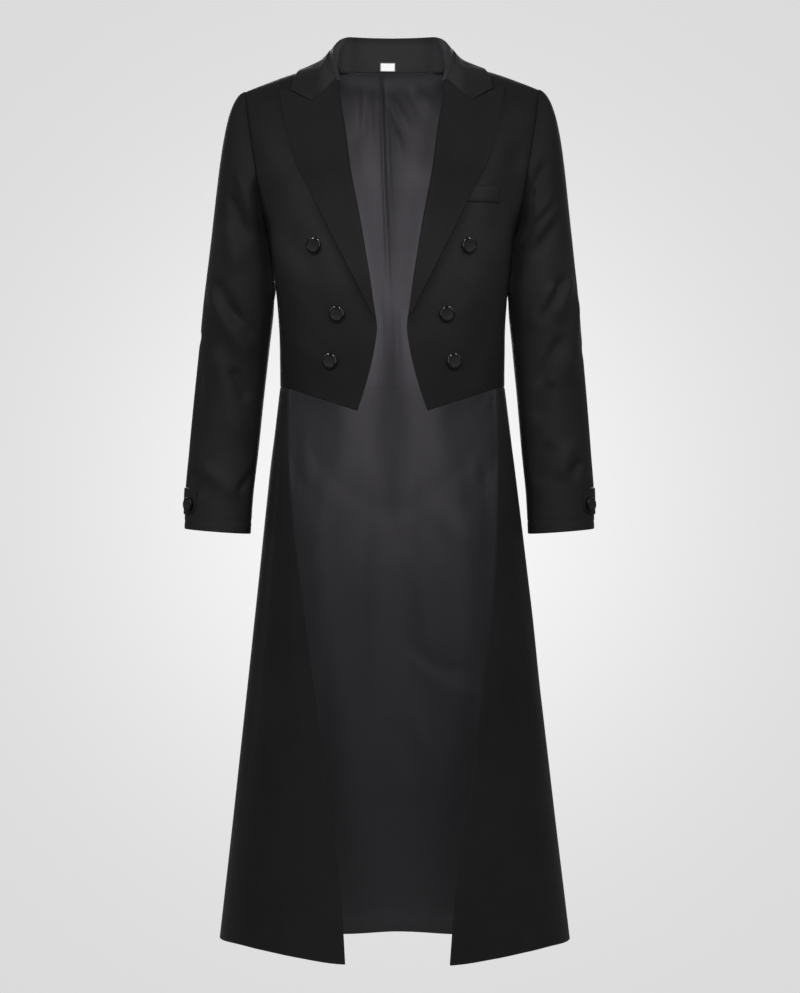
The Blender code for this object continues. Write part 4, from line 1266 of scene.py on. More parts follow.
    def beside_lapel(self, points: Grid) -> Grid:
        """Painted shade beside the lapel: one at the edge of the lapel's lower half, falling away
        outwards as a bell curve.
        """
        x, z = points[..., 0], points[..., 2]
        away = np.maximum(x - smooth(LAPEL_EDGE, "x", z), 0)
        bell = np.exp(-(away / self.pressed_width) ** 2)
        bell = bell * ease((self.pressed_top - z) / self.pressed_fade)
        return bell * ease((z - self.pressed_foot) / self.pressed_rise)

    @staticmethod
    def inland(points: Grid, reach: float, past_waist: bool = False) -> Grid:
        """Nothing at a piece's border and one further in than the reach.

        The border at the first row, which is the waist, is left out for what runs past it.
        """
        chart = arc_lengths(points)
        u, v = chart[..., 0], chart[..., 1]
        nearest = np.minimum(np.minimum(u, u[:, -1:] - u), v[-1:] - v)
        if not past_waist:
            nearest = np.minimum(nearest, v)
        return ease(nearest / reach)

    def build(self, wardrobe: Wardrobe) -> None:
        """Make the five pieces."""
        front, back = self.front_grid(), self.back_grid()
        front_out = BODY.normal(front, -1)
        back_out = BODY.normal(back, 1)
        back_out[:, 0, 0] = 0.0
        back_out = unit(back_out)
        free, seam = Border.FREE, Border.SEAM
        looks = (wardrobe.suiting, wardrobe.lining)
        for side, back_creases in ((Side.LEFT, self.left_back), (Side.RIGHT, self.right_back)):
            dent = front_dent(side, front[..., 0], front[..., 2]) * self.inland(front, 0.02)
            Panel(f"front_{side.word}", hang(side.of(front)), side.of(front_out),
                  Borders(free, seam, free, seam), looks, dent=dent,
                  # painted shade beside the lapel's lower half
                  pressed=self.beside_lapel(front), facing=0.075, seam_depth=0.0006,
                  ).enter(Slot.SUITING, self.front_cut, Held.HUNG, f"back_{side.word}_cloth")
            dent = relief(back_creases, back[..., 0], back[..., 2]) * self.inland(back, 0.02)
            Panel(f"back_{side.word}", hang(side.of(back)), side.of(back_out),
                  Borders.all_round(seam), looks, dent=dent, seam_depth=0.0006,
                  ).enter(Slot.SUITING, self.back_cut, Held.HUNG, f"front_{side.word}_cloth")
        both = np.concatenate([Side.RIGHT.of(back)[:, :0:-1], back], axis=1)
        out = np.concatenate([Side.RIGHT.of(back_out)[:, :0:-1], back_out], axis=1)
        loose = self.slack * self.inland(both, 0.03, past_waist=True)
        folds = relief(self.lining_folds, both[..., 0], both[..., 2]) * self.inland(both, 0.012)
        offset = CLOTH + SEAM + np.maximum(loose - folds, 0.0)
        line_with("lining_back", both, out, offset, wardrobe, self.lining_cut, "back_left_cloth")


# ---- skirt -----------------------------------
@dataclass(frozen=True)
class SkirtHalves:
    """Both halves of the skirt and the lining inside them."""

    columns: int = 96
    rows: int = 120
    turned_in: int = 4
    degree: float = 4.0
    slack: float = 0.007
    cut: Cut = Cut(0.662, 0.865, 0.4)
    lining_cut: Cut = Cut(1.293, 0.864, 0.753)
    folds: Creases = table(
        Crease,
        (150, -600, 158, -1250, 2.2, 30), (126, -550, 120, -1100, 2.4, 26),
        (104, -500, 96, -950, -2.4, 24), (80, -520, 70, -1200, 3, 30),
        (52, -500, 46, -1000, 3.4, 26), (30, -500, 34, -1150, -2.9, 22),
        (14, -500, 10, -950, 3, 18), (-9, -500, -16, -1050, 3.2, 20),
        (-34, -500, -28, -1200, -3, 24), (-58, -500, -66, -1050, 3.2, 26),
        (-84, -500, -78, -1000, -2.7, 26), (-108, -520, -114, -1200, 2.7, 28),
        (-136, -550, -146, -1150, -2.1, 28),
    )
    lining_folds: Creases = table(
        Crease,
        (5, -490, 1, -730, -2, 13.7, 4, 0, 0.15), (-3, -600, 2, -760, 1.9, 6.3, 0, 0, 0.4),
        (0, -700, 16, -940, -1.9, 17.5, -10), (4, -540, 52, -690, 2.2, 27.5, 40, 0, 0.2, 0.3),
        (8, -580, 58, -740, -1.9, 20, 45, 0, 0.2, 0.3),
        (14, -526, 68, -494, -1.9, 23.8, 14, 0, 0.2, 0.3),
        (68, -484, 42, -548, 3.4, 9, 0, 0, 0.1, 0.4),
        (60, -500, 38, -575, -2.4, 15, 0, 0, 0.3, 0.4),
        (38, -490, 62, -610, 2.2, 15, 0, 0, 0.3, 0.3),
        (1, -850, 38, -905, 2, 12.5, 34, 0, 0.2, 0.3),
        (4, -880, 42, -950, -1.8, 15, 34, 0, 0.2, 0.3), (2, -960, 14, -1070, -1.8, 8.8),
        (-4, -980, 10, -1100, 1.5, 11.2), (-16, -780, -10, -1070, 1.8, 18.7),
        (-24, -760, -18, -1090, -1.4, 20), (-6, -770, -6, -1060, 1.5, 11.2),
        (-2, -1100, 16, -1170, 1.6, 22.5, 10), (-24, -860, -14, -1290, -1.3, 25, 6),
        (8, -1180, 10, -1310, -1.1, 15), (-52, -500, -36, -760, 1.6, 22.5),
        (-33, -530, -22, -770, -1.6, 25), (70, -700, 60, -1200, 1.6, 30),
        (-80, -600, -70, -1150, 1.6, 32.5), (100, -600, 110, -1200, -1.5, 35),
        (-110, -600, -118, -1180, -1.5, 35),
    )

    @staticmethod
    def point(turn: Grid, share: Grid, hand: int) -> Grid:
        """Points by the angle round from the front and the share of the way down.

        Each ring is a superellipse that widens downwards. Flutes add a bell curve each round the
        ring, growing with the share of the way down.
        """
        turn, share = np.broadcast_arrays(np.asarray(turn, float), np.asarray(share, float))
        degrees = np.degrees(turn)
        wide = smooth(SKIRT, "half_width", WAIST_Z)
        top_x = wide * np.abs(np.sin(turn)) ** (2 / SQUARE)
        front_top = np.interp(top_x, [TAIL_X, wide], [TAIL_Z, WAIST_Z])
        top = np.where(turn < pi / 2, front_top, WAIST_Z)
        rise = smooth(HEM, "left" if hand > 0 else "right", degrees, key="turn")
        z = top + (HEM_Z + rise - top) * share
        half = smooth(SKIRT, "half_width", z)
        depth = np.where(turn < pi / 2, smooth(SKIRT, "front", z), smooth(SKIRT, "back", z))
        swell = np.zeros(z.shape)
        for flute in FLUTES:
            away = (degrees * hand - flute.turn + 180) % 360 - 180
            swell = swell + flute.depth * np.exp(-(away / flute.spread) ** 2)
        swell = swell * np.clip(share, 0, 1) ** 1.3
        x = half * np.abs(np.sin(turn)) ** (2 / SQUARE) + swell * np.sin(turn)
        y = -depth * np.sign(np.cos(turn)) * np.abs(np.cos(turn)) ** (2 / SQUARE)
        return np.stack([x, y - swell * np.cos(turn), z], axis=-1)

    def half(self, hand: int) -> tuple[Grid, Grid, Grid]:
        """Points, outward directions and angles of one half, from front edge to middle back."""
        share = spread(0, 1, self.rows, 0.85)[:, None]
        z = WAIST_Z + (HEM_Z - WAIST_Z) * share
        edge = smooth(SKIRT, "opening", z) + hand * smooth(SKIRT, "drift", z)
        start = np.arcsin((edge / smooth(SKIRT, "half_width", z)) ** (SQUARE / 2))
        turn = start + (pi - start) * spread(0, 1, self.columns, 0.55)[None, :]
        points = self.point(turn, share, hand)
        safe = np.minimum(turn, pi - 2e-3)
        along = self.point(safe + 1e-3, share, hand) - self.point(safe - 1e-3, share, hand)
        down = self.point(safe, share + 1e-3, hand) - self.point(safe, share - 1e-3, hand)
        outward = unit(np.cross(down, along))
        points[:, -1, 0] = 0.0
        outward[:, -1, 0] = 0.0
        return points, unit(outward), turn

    def build(self, wardrobe: Wardrobe) -> None:
        """Make both halves and the lining."""
        free, seam = Border.FREE, Border.SEAM
        faces = {}
        for side in Side:
            points, outward, turn = self.half(side.value)
            swing = (180 - np.degrees(turn)) * side.value
            inland = Bodice.inland(points, 0.03)
            dent = relief(self.folds, swing, points[..., 2], self.degree) * inland
            Panel(f"skirt_{side.word}", hang(side.of(points)), side.of(outward),
                  Borders(free, seam, seam, free), (wardrobe.skirt, wardrobe.lining), dent=dent,
                  facing=0.016).enter(Slot.SUITING, self.cut, Held.HUNG, f"back_{side.word}_cloth")
            shown = slice(self.turned_in, None)
            faces[side] = [side.of(points - outward * dent[..., None])[:, shown],
                           side.of(outward)[:, shown], swing[:, shown]]
        right, left = faces[Side.RIGHT], faces[Side.LEFT]
        points, outward, swing = (np.concatenate([r, l[:, -2::-1]], axis=1)
                                  for r, l in zip(right, left))
        inland = Bodice.inland(points, 0.04, past_waist=True)
        folds = relief(self.lining_folds, swing, points[..., 2], self.degree)
        folds = folds * Bodice.inland(points, 0.014)
        offset = CLOTH + SEAM + np.maximum(self.slack * inland - folds, 0.0)
        line_with("lining_skirt", points, outward, offset, wardrobe, self.lining_cut,
                  "skirt_left_cloth")


# ---- sleeves ---------------------------------
@dataclass(frozen=True)
class Sleeves:
    """Both two-piece sleeves, with their drag lines, crumpled elbows and turned cuffs."""

    base_z: float = -0.31
    cuff_z: float = -0.6969
    cuff_tilt: float = 0.0038
    cuff_hem: float = 0.015
    tube_rows: int = 110
    head_rows: int = 34
    tuck: float = 0.0034
    degree: float = 0.88
    head_step: float = 0.02
    head_rise: float = 0.6
    reach_top: tuple[float, float] = (0.033, -0.0095)
    reach_under: tuple[float, float] = (-0.0015, -0.02)
    reach_side: float = 0.01
    inner_from: float = 0.86
    inner_fade: float = 0.12
    parting_z: float = -0.351
    parting_fade: float = 0.022
    head_fade: float = 0.12
    cuff_fade: float = 0.14
    rope_height: float = 0.0002
    rope_width: float = 0.055
    cuff_line_depth: float = 0.0007
    cuff_line_width: float = 0.0016
    top_cut: Cut = Cut(0.3, 0.686, 0.152)
    under_cut: Cut = Cut(0.115, 0.528, 0.041)
    right_creases: Creases = table(
        Crease,
        (88, -132, 168, -212, 5.2, 9, 0, 0.2), (70, -148, 124, -246, -5.1, 8.8),
        (60, -186, 116, -268, 5.2, 9), (128, -85, 178, -170, -3.9, 8),
        (58, -226, 94, -315, -5.2, 13), (44, -315, 106, -395, 5.2, 10),
        (27, -325, 142, -465, -5.2, 12), (66, -352, 132, -412, 3.3, 8),
        (90, -450, 130, -505, 4.8, 8.3), (58, -415, 122, -580, -4.8, 15),
        (24, -440, 50, -590, 3.6, 14), (56, -596, 132, -652, -4.1, 12),
        (122, -640, 165, -602, 4.3, 7.4), (30, -600, 60, -650, 3.1, 12),
        (-40, -150, -150, -230, 4.8, 9), (-30, -200, -130, -300, -4.3, 11),
        (0, -330, -110, -400, 5, 10), (-10, -370, -120, -460, -4.5, 11),
        (20, -400, -90, -430, 4.1, 8), (-20, -480, -110, -590, -4.1, 14),
    )
    left_creases: Creases = table(
        Crease,
        (104, -104, 142, -172, 5, 9), (70, -142, 118, -206, 5, 8.6),
        (88, -118, 128, -186, -4.5, 7.8), (56, -186, 182, -286, -5, 8.6, 4),
        (54, -196, 142, -268, 4.5, 7.8), (50, -202, 132, -278, -5, 8.6),
        (50, -218, 118, -290, 5, 8.6), (32, -308, 78, -385, -5, 9), (48, -310, 112, -392, 5, 8.6),
        (68, -322, 122, -398, -5, 8.6), (64, -400, 124, -488, 5, 8.6),
        (18, -330, 72, -490, -5, 13), (88, -470, 130, -535, 3.8, 11), (64, -560, 90, -625, -5, 12),
        (48, -588, 78, -618, 4.8, 8.3), (100, -560, 140, -630, 3.1, 12),
        (-36, -160, -140, -220, 4.8, 9), (-40, -210, -150, -310, -4.3, 10),
        (10, -340, -100, -385, 5, 9.5), (-5, -385, -125, -440, -4.8, 11),
        (15, -420, -80, -450, 4.1, 8), (-25, -500, -100, -600, -4.1, 14),
    )

    @staticmethod
    def armhole(turn: Grid) -> Grid:
        """The armhole's edge by angle: 0 at the shoulder, +90 degrees in front, 180 underarm."""
        top = smooth(SHOULDER, "z", SHOULDER_X, key="x")
        z = UNDERARM_Z + (top - UNDERARM_Z) * (1 + np.cos(turn)) / 2
        x = smooth(ARMHOLE, "x", z)
        y = np.where(np.sin(turn) >= 0, -BODY.depth_at(x, z, -1), BODY.depth_at(x, z, 1))
        return np.stack([x + 1.5 * SEAM, y, z], axis=-1)

    @staticmethod
    def axis(z: Grid) -> tuple[Grid, Grid]:
        """Where the middle of the sleeve lies at a height."""
        low = np.minimum(z, SLEEVE[0].z)
        middle = (smooth(SLEEVE, "inner", low) + smooth(SLEEVE, "outer", low)) / 2
        return middle, smooth(SLEEVE, "forward", low)

    @staticmethod
    def tube(turn: Grid, z: Grid) -> Grid:
        """The plain tube: an ellipse at each height, leaning forward to the cuff."""
        inner, outer = smooth(SLEEVE, "inner", z), smooth(SLEEVE, "outer", z)
        middle, half = (inner + outer) / 2, (outer - inner) / 2
        depth, forward = smooth(SLEEVE, "depth", z), smooth(SLEEVE, "forward", z)
        return np.stack([middle + half * np.cos(turn), forward - depth * np.sin(turn), z], axis=-1)

    def point(self, turn: Grid, share: Grid) -> Grid:
        """The sleeve by angle and share: 0 at the cuff, 1 where the head begins, 2 at the armhole.

        Below the head it is the tube. The head is a cubic curve from the tube's ring to the
        armhole, leaving straight up and arriving from outside.
        """
        turn, share = np.broadcast_arrays(np.asarray(turn, float), np.asarray(share, float))
        cuff = self.cuff_z + self.cuff_tilt * np.cos(turn) - 0.001 * np.sin(turn)
        tube = self.tube(turn, cuff + (self.base_z - cuff) * np.minimum(share, 1))
        start = self.tube(turn, np.full(turn.shape, self.base_z))
        below = self.tube(turn, np.full(turn.shape, self.base_z - self.head_step))
        end = self.armhole(turn)
        climb = (start - below) / self.head_step
        leave = start + climb * (end - start)[..., 2:] * self.head_rise
        top = np.cos(turn / 2) ** 2
        out, up = (high * top + low * (1 - top)
                   for high, low in zip(self.reach_top, self.reach_under))
        reach = np.stack([out, -self.reach_side * np.sin(turn), up], axis=-1)
        part = np.maximum(share - 1, 0)[..., None]
        head = start * (1 - part) ** 3 + 3 * leave * part * (1 - part) ** 2
        head = head + 3 * (end + reach) * part ** 2 * (1 - part) + end * part ** 3
        return np.where(share[..., None] > 1, head, tube)

    def beside_body(self, points: Grid, turn: Grid) -> Grid:
        """Lay the inner side of the sleeve against the body from the underarm to where they part.

        A point's width beside the body is the ring's superellipse at its depth. Points nearer
        than that are pushed out to it; those on the inner side are drawn in to it.
        """
        z = points[..., 2]
        side = np.where(points[..., 1] < 0, -1, 1)
        half, depth = BODY.ring_size(z, side)
        across = np.clip(np.abs(points[..., 1]) / depth, 0, 1)
        beside = half * (1 - across ** SQUARE) ** (1 / SQUARE) + SEAM * 1.5
        drawn = ease((-np.cos(turn) - self.inner_from) / self.inner_fade)
        drawn = drawn * ease((z - self.parting_z) / self.parting_fade)
        x = points[..., 0] + np.minimum(beside - points[..., 0], 0) * drawn
        moved = points.copy()
        moved[..., 0] = np.where(z <= UNDERARM_Z + 0.004, np.maximum(x, beside), points[..., 0])
        return moved

    def piece_grid(self, turns: Grid, creases: Creases) -> tuple[Grid, Grid]:
        """Points and outward directions of a piece between two seams, creases included."""
        tube = spread(0, 1, self.tube_rows, 0.387)[:-4]
        head = 1 + spread(0, 1, self.head_rows, 0.2)
        turn, share = np.meshgrid(turns, np.concatenate([tube, head]))
        points = self.point(turn, share)
        low, high = np.maximum(share - 0.01, 0), np.minimum(share + 0.01, 2)
        up = self.point(turn, high) - self.point(turn, low)
        round_way = self.point(turn + 0.01, share) - self.point(turn - 0.01, share)
        outward = unit(np.cross(up, round_way))
        middle, forward = self.axis(points[..., 2])
        level = np.minimum(points[..., 2], (points[..., 2] + self.base_z) / 2)
        spoke = points - np.stack([middle, forward, level], axis=-1)
        facing = np.sign((outward * spoke).sum(axis=-1, keepdims=True))
        outward = outward * np.where(facing == 0, 1, facing)
        degrees = (np.degrees(turn) + 180) % 360 - 180
        wrapped = np.where(degrees < -170, degrees + 360, degrees)
        dent = relief(creases, wrapped, points[..., 2], self.degree)
        dent = dent * ease((2 - share) / self.head_fade) * ease(share / self.cuff_fade)
        rope = np.exp(-((2 - share) / self.rope_width - 1.2) ** 2)
        rope = rope * np.sqrt(np.clip(np.cos(turn), 0, 1)) * self.rope_height
        cuff_line = (points[..., 2] - self.cuff_z - self.cuff_hem) / self.cuff_line_width
        dent = dent - rope + self.cuff_line_depth * np.exp(-cuff_line ** 2)
        points = self.beside_body(points - outward * dent[..., None], turn)
        through = self.allowance(turns)[None]
        return np.concatenate([points, through]), np.concatenate([outward, outward[-1:]])

    def allowance(self, turns: Grid) -> Grid:
        """The seam allowance: from the armhole's edge a little into the hole and down inside."""
        edge = self.armhole(turns)
        front = np.sin(turns)[:, None] >= 0
        out = np.where(front, BODY.normal(edge, -1), BODY.normal(edge, 1))
        top = np.cos(turns / 2) ** 2
        into = unit(np.stack([top, np.zeros_like(top), 1 - top], axis=-1))
        return edge + into * 0.0008 - out * self.tuck

    def build(self, wardrobe: Wardrobe) -> None:
        """Make both pieces of both sleeves."""
        step = radians(22.5)
        free, seam = Border.FREE, Border.SEAM
        pieces = (("sleeve_top", np.radians(spread(-5 * 22.5, 7 * 22.5, 74, 0.235)), self.top_cut),
                  ("sleeve_under", 7 * step + spread(0, 4 * step, 26, 0.08), self.under_cut))
        for side, creases in ((Side.LEFT, self.left_creases), (Side.RIGHT, self.right_creases)):
            for name, turns, cut in pieces:
                points, outward = self.piece_grid(turns, creases)
                Panel(f"{name}_{side.word}", hang(side.of(points), sleeve=True), side.of(outward),
                      Borders(seam, seam, free, seam), (wardrobe.sleeve, wardrobe.lining),
                      seam_depth=0.0004,
                      ).enter(Slot.SUITING, cut, Held.HUNG, f"front_{side.word}_cloth",
                              f"back_{side.word}_cloth")


# ---- lapels and collar -----------------------
class Corner(NamedTuple):
    """A corner of the lapel's top edge, by its share of the way out."""

    share: float
    x: float
    z: float


class Fold(NamedTuple):
    """A point of the lapel's roll round the front's edge: upper and under face."""

    place: float
    out: float
    lift: float
    back_out: float
    back_lift: float


@dataclass(frozen=True)
class Lapels:
    """Both peak lapels, each rolled back over its front."""

    foot_z: float = -0.372
    lift: float = 0.0018
    swell: float = 0.001
    rows: int = 96
    cut: Cut = Cut(0.128, 0.394, 0.0227)
    taper: float = 0.16
    sunk: float = 0.85
    sunk_from: float = 0.88
    foot_lift: float = 0.15
    foot_wall: float = 0.4
    foot_reach: float = 0.3
    top: tuple[Corner, ...] = table(
        Corner,
        (0, 0.0797, -0.0166), (0.45, 0.1188, -0.0524), (0.5, 0.1224, -0.0538),
        (0.83, 0.1503, -0.0378), (1, 0.1675, -0.0297),
    )
    roll: tuple[Fold, ...] = table(
        Fold,
        (0, 0.0016, -0.0014, 0.0006, -0.0012), (1, 0.0018, 0.0008, 0.0007, 0.0002),
        (2, 0.0012, 0.0028, 0.0005, 0.0012), (3, -0.0004, 0.0039, -0.0002, 0.0021),
    )
    creases: Creases = table(
        Crease,
        (100, -75, 85, -240, 0.8, 14), (130, -80, 105, -190, -0.8, 16),
    )

    def build(self, wardrobe: Wardrobe) -> None:
        """Make both lapels.

        A row runs from the roll, wrapped round the front's edge, out to the lapel's outer edge.
        Its height above the front swells towards the roll. The last rows lean into the top edge:
        down to the gorge, up to the collar's corner and out to the tip of the peak.
        """
        shares = np.concatenate([spread(0.1, 0.45, 16, 0.03)[:-1], spread(0.45, 0.5, 3, 0.03)[:1],
                                 spread(0.5, 0.83, 14, 0.03)[:-1], spread(0.83, 1.0, 7, 0.018)])
        marks = [corner.share for corner in self.top]
        top_z = np.interp(shares, marks, [corner.z for corner in self.top])
        top_x = np.interp(shares, marks, [corner.x for corner in self.top])
        corner, tip = self.top[0], self.top[-1]
        top_share = (top_x - corner.x) / (tip.x - corner.x)
        fold_places = np.linspace(0, 3, 12)
        fold = {name: smooth(self.roll, name, fold_places, key="place")
                for name in Fold._fields[1:]}
        upper, under = [], []
        for part in spread(0, 1, self.rows, 0.35):
            z_edge = self.foot_z + (corner.z - self.foot_z) * part
            z = self.foot_z + (top_z - self.foot_z) * part
            mix = shares + (top_share - shares) * part ** 4
            inner = smooth(FRONT_EDGE, "x", z)
            points = BODY.point(inner + (smooth(LAPEL_EDGE, "x", z) - inner) * mix, z, -1)
            outward = BODY.normal(points, -1)
            full = float(ease(np.array(part / self.taper)))
            sunk = 1 - self.sunk * float(
                ease(np.array((part - self.sunk_from) / (1 - self.sunk_from))))
            swell = self.swell * full * sunk * (1 - shares) ** 1.5
            rise = (self.lift * (self.foot_lift + (1 - self.foot_lift) * full) + swell)[:, None]
            wall = CLOTH * (self.foot_wall + (1 - self.foot_wall) * full)
            root = BODY.point(smooth(FRONT_EDGE, "x", z_edge), z_edge, -1)[None]
            root_out = BODY.normal(root, -1)
            toward = unit(np.array([[-1.0, 0.0, 0.0]]) + root_out * root_out[:, :1])
            reach = self.foot_reach + (1 - self.foot_reach) * full
            wrap = root + (toward * fold["out"][:, None] + root_out * fold["lift"][:, None]) * reach
            wrap_under = root + (toward * fold["back_out"][:, None]
                                 + root_out * fold["back_lift"][:, None]) * reach
            dent = (relief(self.creases, points[:, 0], points[:, 2]) * ease(shares / 0.4))[:, None]
            upper.append(np.concatenate([wrap, points + outward * (rise + wall - dent)]))
            under.append(np.concatenate([wrap_under, points + outward * (rise - dent)]))
        upper, under = np.array(upper), np.array(under)
        free, hidden = Border.FREE, Border.HIDDEN
        outward = unit(upper - under)
        for side in Side:
            Panel(f"lapel_{side.word}", hang(side.of(upper)), side.of(outward),
                  Borders(hidden, free, hidden, hidden), (wardrobe.lapel, wardrobe.suiting),
                  dent=front_dent(side, under[..., 0], under[..., 2]), inner=hang(side.of(under)),
                  facing=0.01).enter(Slot.COLLAR, self.cut, Held.FOLDED, f"front_{side.word}_cloth")


@dataclass(frozen=True)
class Collar:
    """The collar: a stand round the neck that folds over into a fall on the shoulders."""

    lift: float = 0.0018
    behind: int = 40
    per_section: int = 52
    line_z: float = -0.0007
    line_rise: float = 0.129
    fold_index: int = 6
    corner_index: int = 7
    crisp_rows: int = 12
    rolls: tuple[Point, ...] = (
        Point(-0.061, 0.004), Point(-0.03, 0.0076), Point(0.01, 0.0088), Point(0.045, 0.0056),
        Point(0.078, 0.0036),
    )
    cut: Cut = Cut(0.515, 0.13, 0.0482)

    def rows(self) -> list[Station]:
        """Sections read along the table, closer together where the fall turns over the shoulder."""
        at = np.concatenate([np.linspace(0, BACK_STATIONS - 1.1, self.behind),
                             spread(BACK_STATIONS - 1, len(COLLAR) - 1, 30, 0.08)])
        columns = []
        for name in Station._fields:
            table = [Point(float(place), getattr(row, name)) for place, row in enumerate(COLLAR)]
            columns.append(smooth(table, "z", at, key="x"))
        return [Station(*row) for row in np.stack(columns, axis=1).tolist()]

    def section(self, row: Station, behind: bool) -> tuple[Grid, Grid]:
        """Upper and under face at one station, from the neck seam over the fold to the edge.

        The stand's foot drops to a straight line where the neck seam climbs round the sides. The
        under face lies a wall's thickness across the section up to the fold, and towards the body
        from there on; then it is pushed out until it clears the body.
        """
        seam = BODY.point(row.seam_x, row.seam_z, 1 if behind else -1)
        fold = np.array([row.fold_x, row.fold_y, row.fold_z])
        middle = np.array([row.mid_x, row.mid_y, row.mid_z])
        edge = np.array([row.edge_x, row.edge_y, row.edge_z])
        away = unit((edge - fold) * np.array([1.0, 1.0, 0.0]))
        up = np.array([0.0, 0.0, 1.0])
        foot = seam + up * SEAM * 2 - away * CLOTH
        drop = max(foot[2] - self.line_z - self.line_rise * foot[1], 0.0)
        drop = drop * float(ease(np.array((foot[1] + 0.01) / 0.02)))
        foot = foot - up * drop - away * drop * 0.45
        roll = float(smooth(self.rolls, "z", row.fold_y, key="x"))
        top = fold + away * (roll - self.rolls[-1].z) * 0.8
        points = np.array([
            foot, foot + (fold - foot) * 0.55, top - away * 0.8 * roll - up * 1.2 * roll,
            top - away * 0.5 * roll - up * 0.25 * roll, top + away * 0.25 * roll - up * 0.1 * roll,
            top + away * roll - up * roll, top + (middle - top) * 0.45 + away * 0.0015,
            middle, (middle + edge) / 2 + away * 0.001, edge])
        along = np.gradient(points, axis=0)
        flat = np.stack([(along * away).sum(axis=1), along @ up], axis=1)
        flat = flat / np.linalg.norm(flat, axis=1, keepdims=True)
        inward = flat[:, 1:] * away - flat[:, :1] * up
        for place in range(self.fold_index, len(points)):
            side = -1 if points[place, 1] < 0 else 1
            inward[place] = -BODY.normal(points[place][None], side)[0]
        below = points + inward * CLOTH
        seated = BODY.rest_on(below[self.fold_index:], self.lift)
        points[self.fold_index:] += seated - below[self.fold_index:]
        below[self.fold_index:] = seated
        return points, below

    def refine(self, points: Grid, share: float) -> Grid:
        """A smooth section, whose corner at the gorge grows crisp towards the collar's end."""
        soft = resample(points, self.per_section)
        corner = self.corner_index
        first = round(self.per_section * corner / (len(points) - 1))
        crisp = np.concatenate([resample(points[:corner + 1], first + 1)[:-1],
                                resample(points[corner:], self.per_section - first)])
        return soft + (crisp - soft) * share

    def build(self, wardrobe: Wardrobe) -> None:
        """Make the collar."""
        rows = self.rows()
        upper, under = [], []
        for place, row in enumerate(rows):
            points, below = self.section(row, place <= self.behind)
            crisp = float(ease(np.array((place - len(rows) + self.crisp_rows) / self.crisp_rows)))
            upper.append(self.refine(points, crisp))
            under.append(self.refine(below, crisp))
        both = [np.concatenate([Side.RIGHT.of(grid)[:0:-1], grid], axis=0)
                for grid in (np.array(upper), np.array(under))]
        free, hidden = Border.FREE, Border.HIDDEN
        Panel("collar", hang(both[0]), unit(both[0] - both[1]),
              Borders(hidden, free, hidden, hidden), (wardrobe.collar,) * 2, inner=hang(both[1]),
              ).enter(Slot.COLLAR, self.cut, Held.FOLDED, "back_left_cloth", "back_right_cloth")


# ---- small pieces ----------------------------
@dataclass(frozen=True)
class ChestWelt:
    """The welt of the chest pocket, which comes out from under the left lapel."""

    top_z: float = -0.1834
    bottom_z: float = -0.2056
    outer_x: float = 0.1604
    cut: Cut = Cut(0.053, 0.025, 0.00127)

    def build(self, wardrobe: Wardrobe) -> None:
        """Make the welt: the body's own points between two heights, moved out."""
        z = spread(self.bottom_z, self.top_z, 10, self.top_z - self.bottom_z)[:, None]
        start = smooth(LAPEL_EDGE, "x", z) + 0.0009
        x = start + (self.outer_x - start) * spread(0, 1, 26, 0.045)[None, :]
        base = BODY.point(x, z, -1)
        outward = BODY.normal(base, -1)
        seam, hidden = Border.SEAM, Border.HIDDEN
        Panel("chest_welt", hang(base + outward * (SEAM * 1.5 + CLOTH)), outward,
              Borders(hidden, seam, seam, seam), (wardrobe.suiting, wardrobe.suiting),
              dent=front_dent(Side.LEFT, base[..., 0], base[..., 2]),
              ).enter(Slot.SUITING, self.cut, Held.STRETCHED, "front_left_cloth")


@dataclass(frozen=True)
class NeckLabel:
    """A blank label sewn on the inside of the collar's stand."""

    x: float = -0.006
    width: float = 0.0234
    height: float = 0.014
    seam_z: float = 0.008
    cut: Cut = Cut(0.0236, 0.0142, 0.000335)

    def build(self, wardrobe: Wardrobe) -> None:
        """Make the label: a strip that leans with the stand, which rises straight to the fold."""
        first = COLLAR[0]
        across = self.x + spread(-0.5, 0.5, 18, self.width) * self.width
        seam_y = BODY.point(across, self.seam_z, 1)[:, 1] - CLOTH
        foot_y = float(BODY.point(first.seam_x, first.seam_z, 1)[1]) - CLOTH
        lean = (first.fold_y - foot_y) / (first.fold_z - first.seam_z)
        rise = 0.0012 + spread(0, 1, 12, self.height) * self.height
        y = seam_y[None, :] + lean * rise[:, None] - 0.0018
        face = np.stack([np.broadcast_to(across, y.shape), y,
                         np.broadcast_to(self.seam_z + rise[:, None], y.shape)], axis=-1)
        Panel("neck_label", hang(face), grid_normal(face, np.array([0.0, -1.0, 0.0])),
              Borders.all_round(Border.FREE), (wardrobe.tape, wardrobe.tape), thickness=0.0009,
              kind="tape").enter(Slot.LABEL, self.cut, Held.STRETCHED, "collar_cloth")


class Bend(NamedTuple):
    """A stretch of the button's rim: tilt of its face at both ends in degrees, length and steps."""

    start: float
    end: float
    length: float
    steps: int


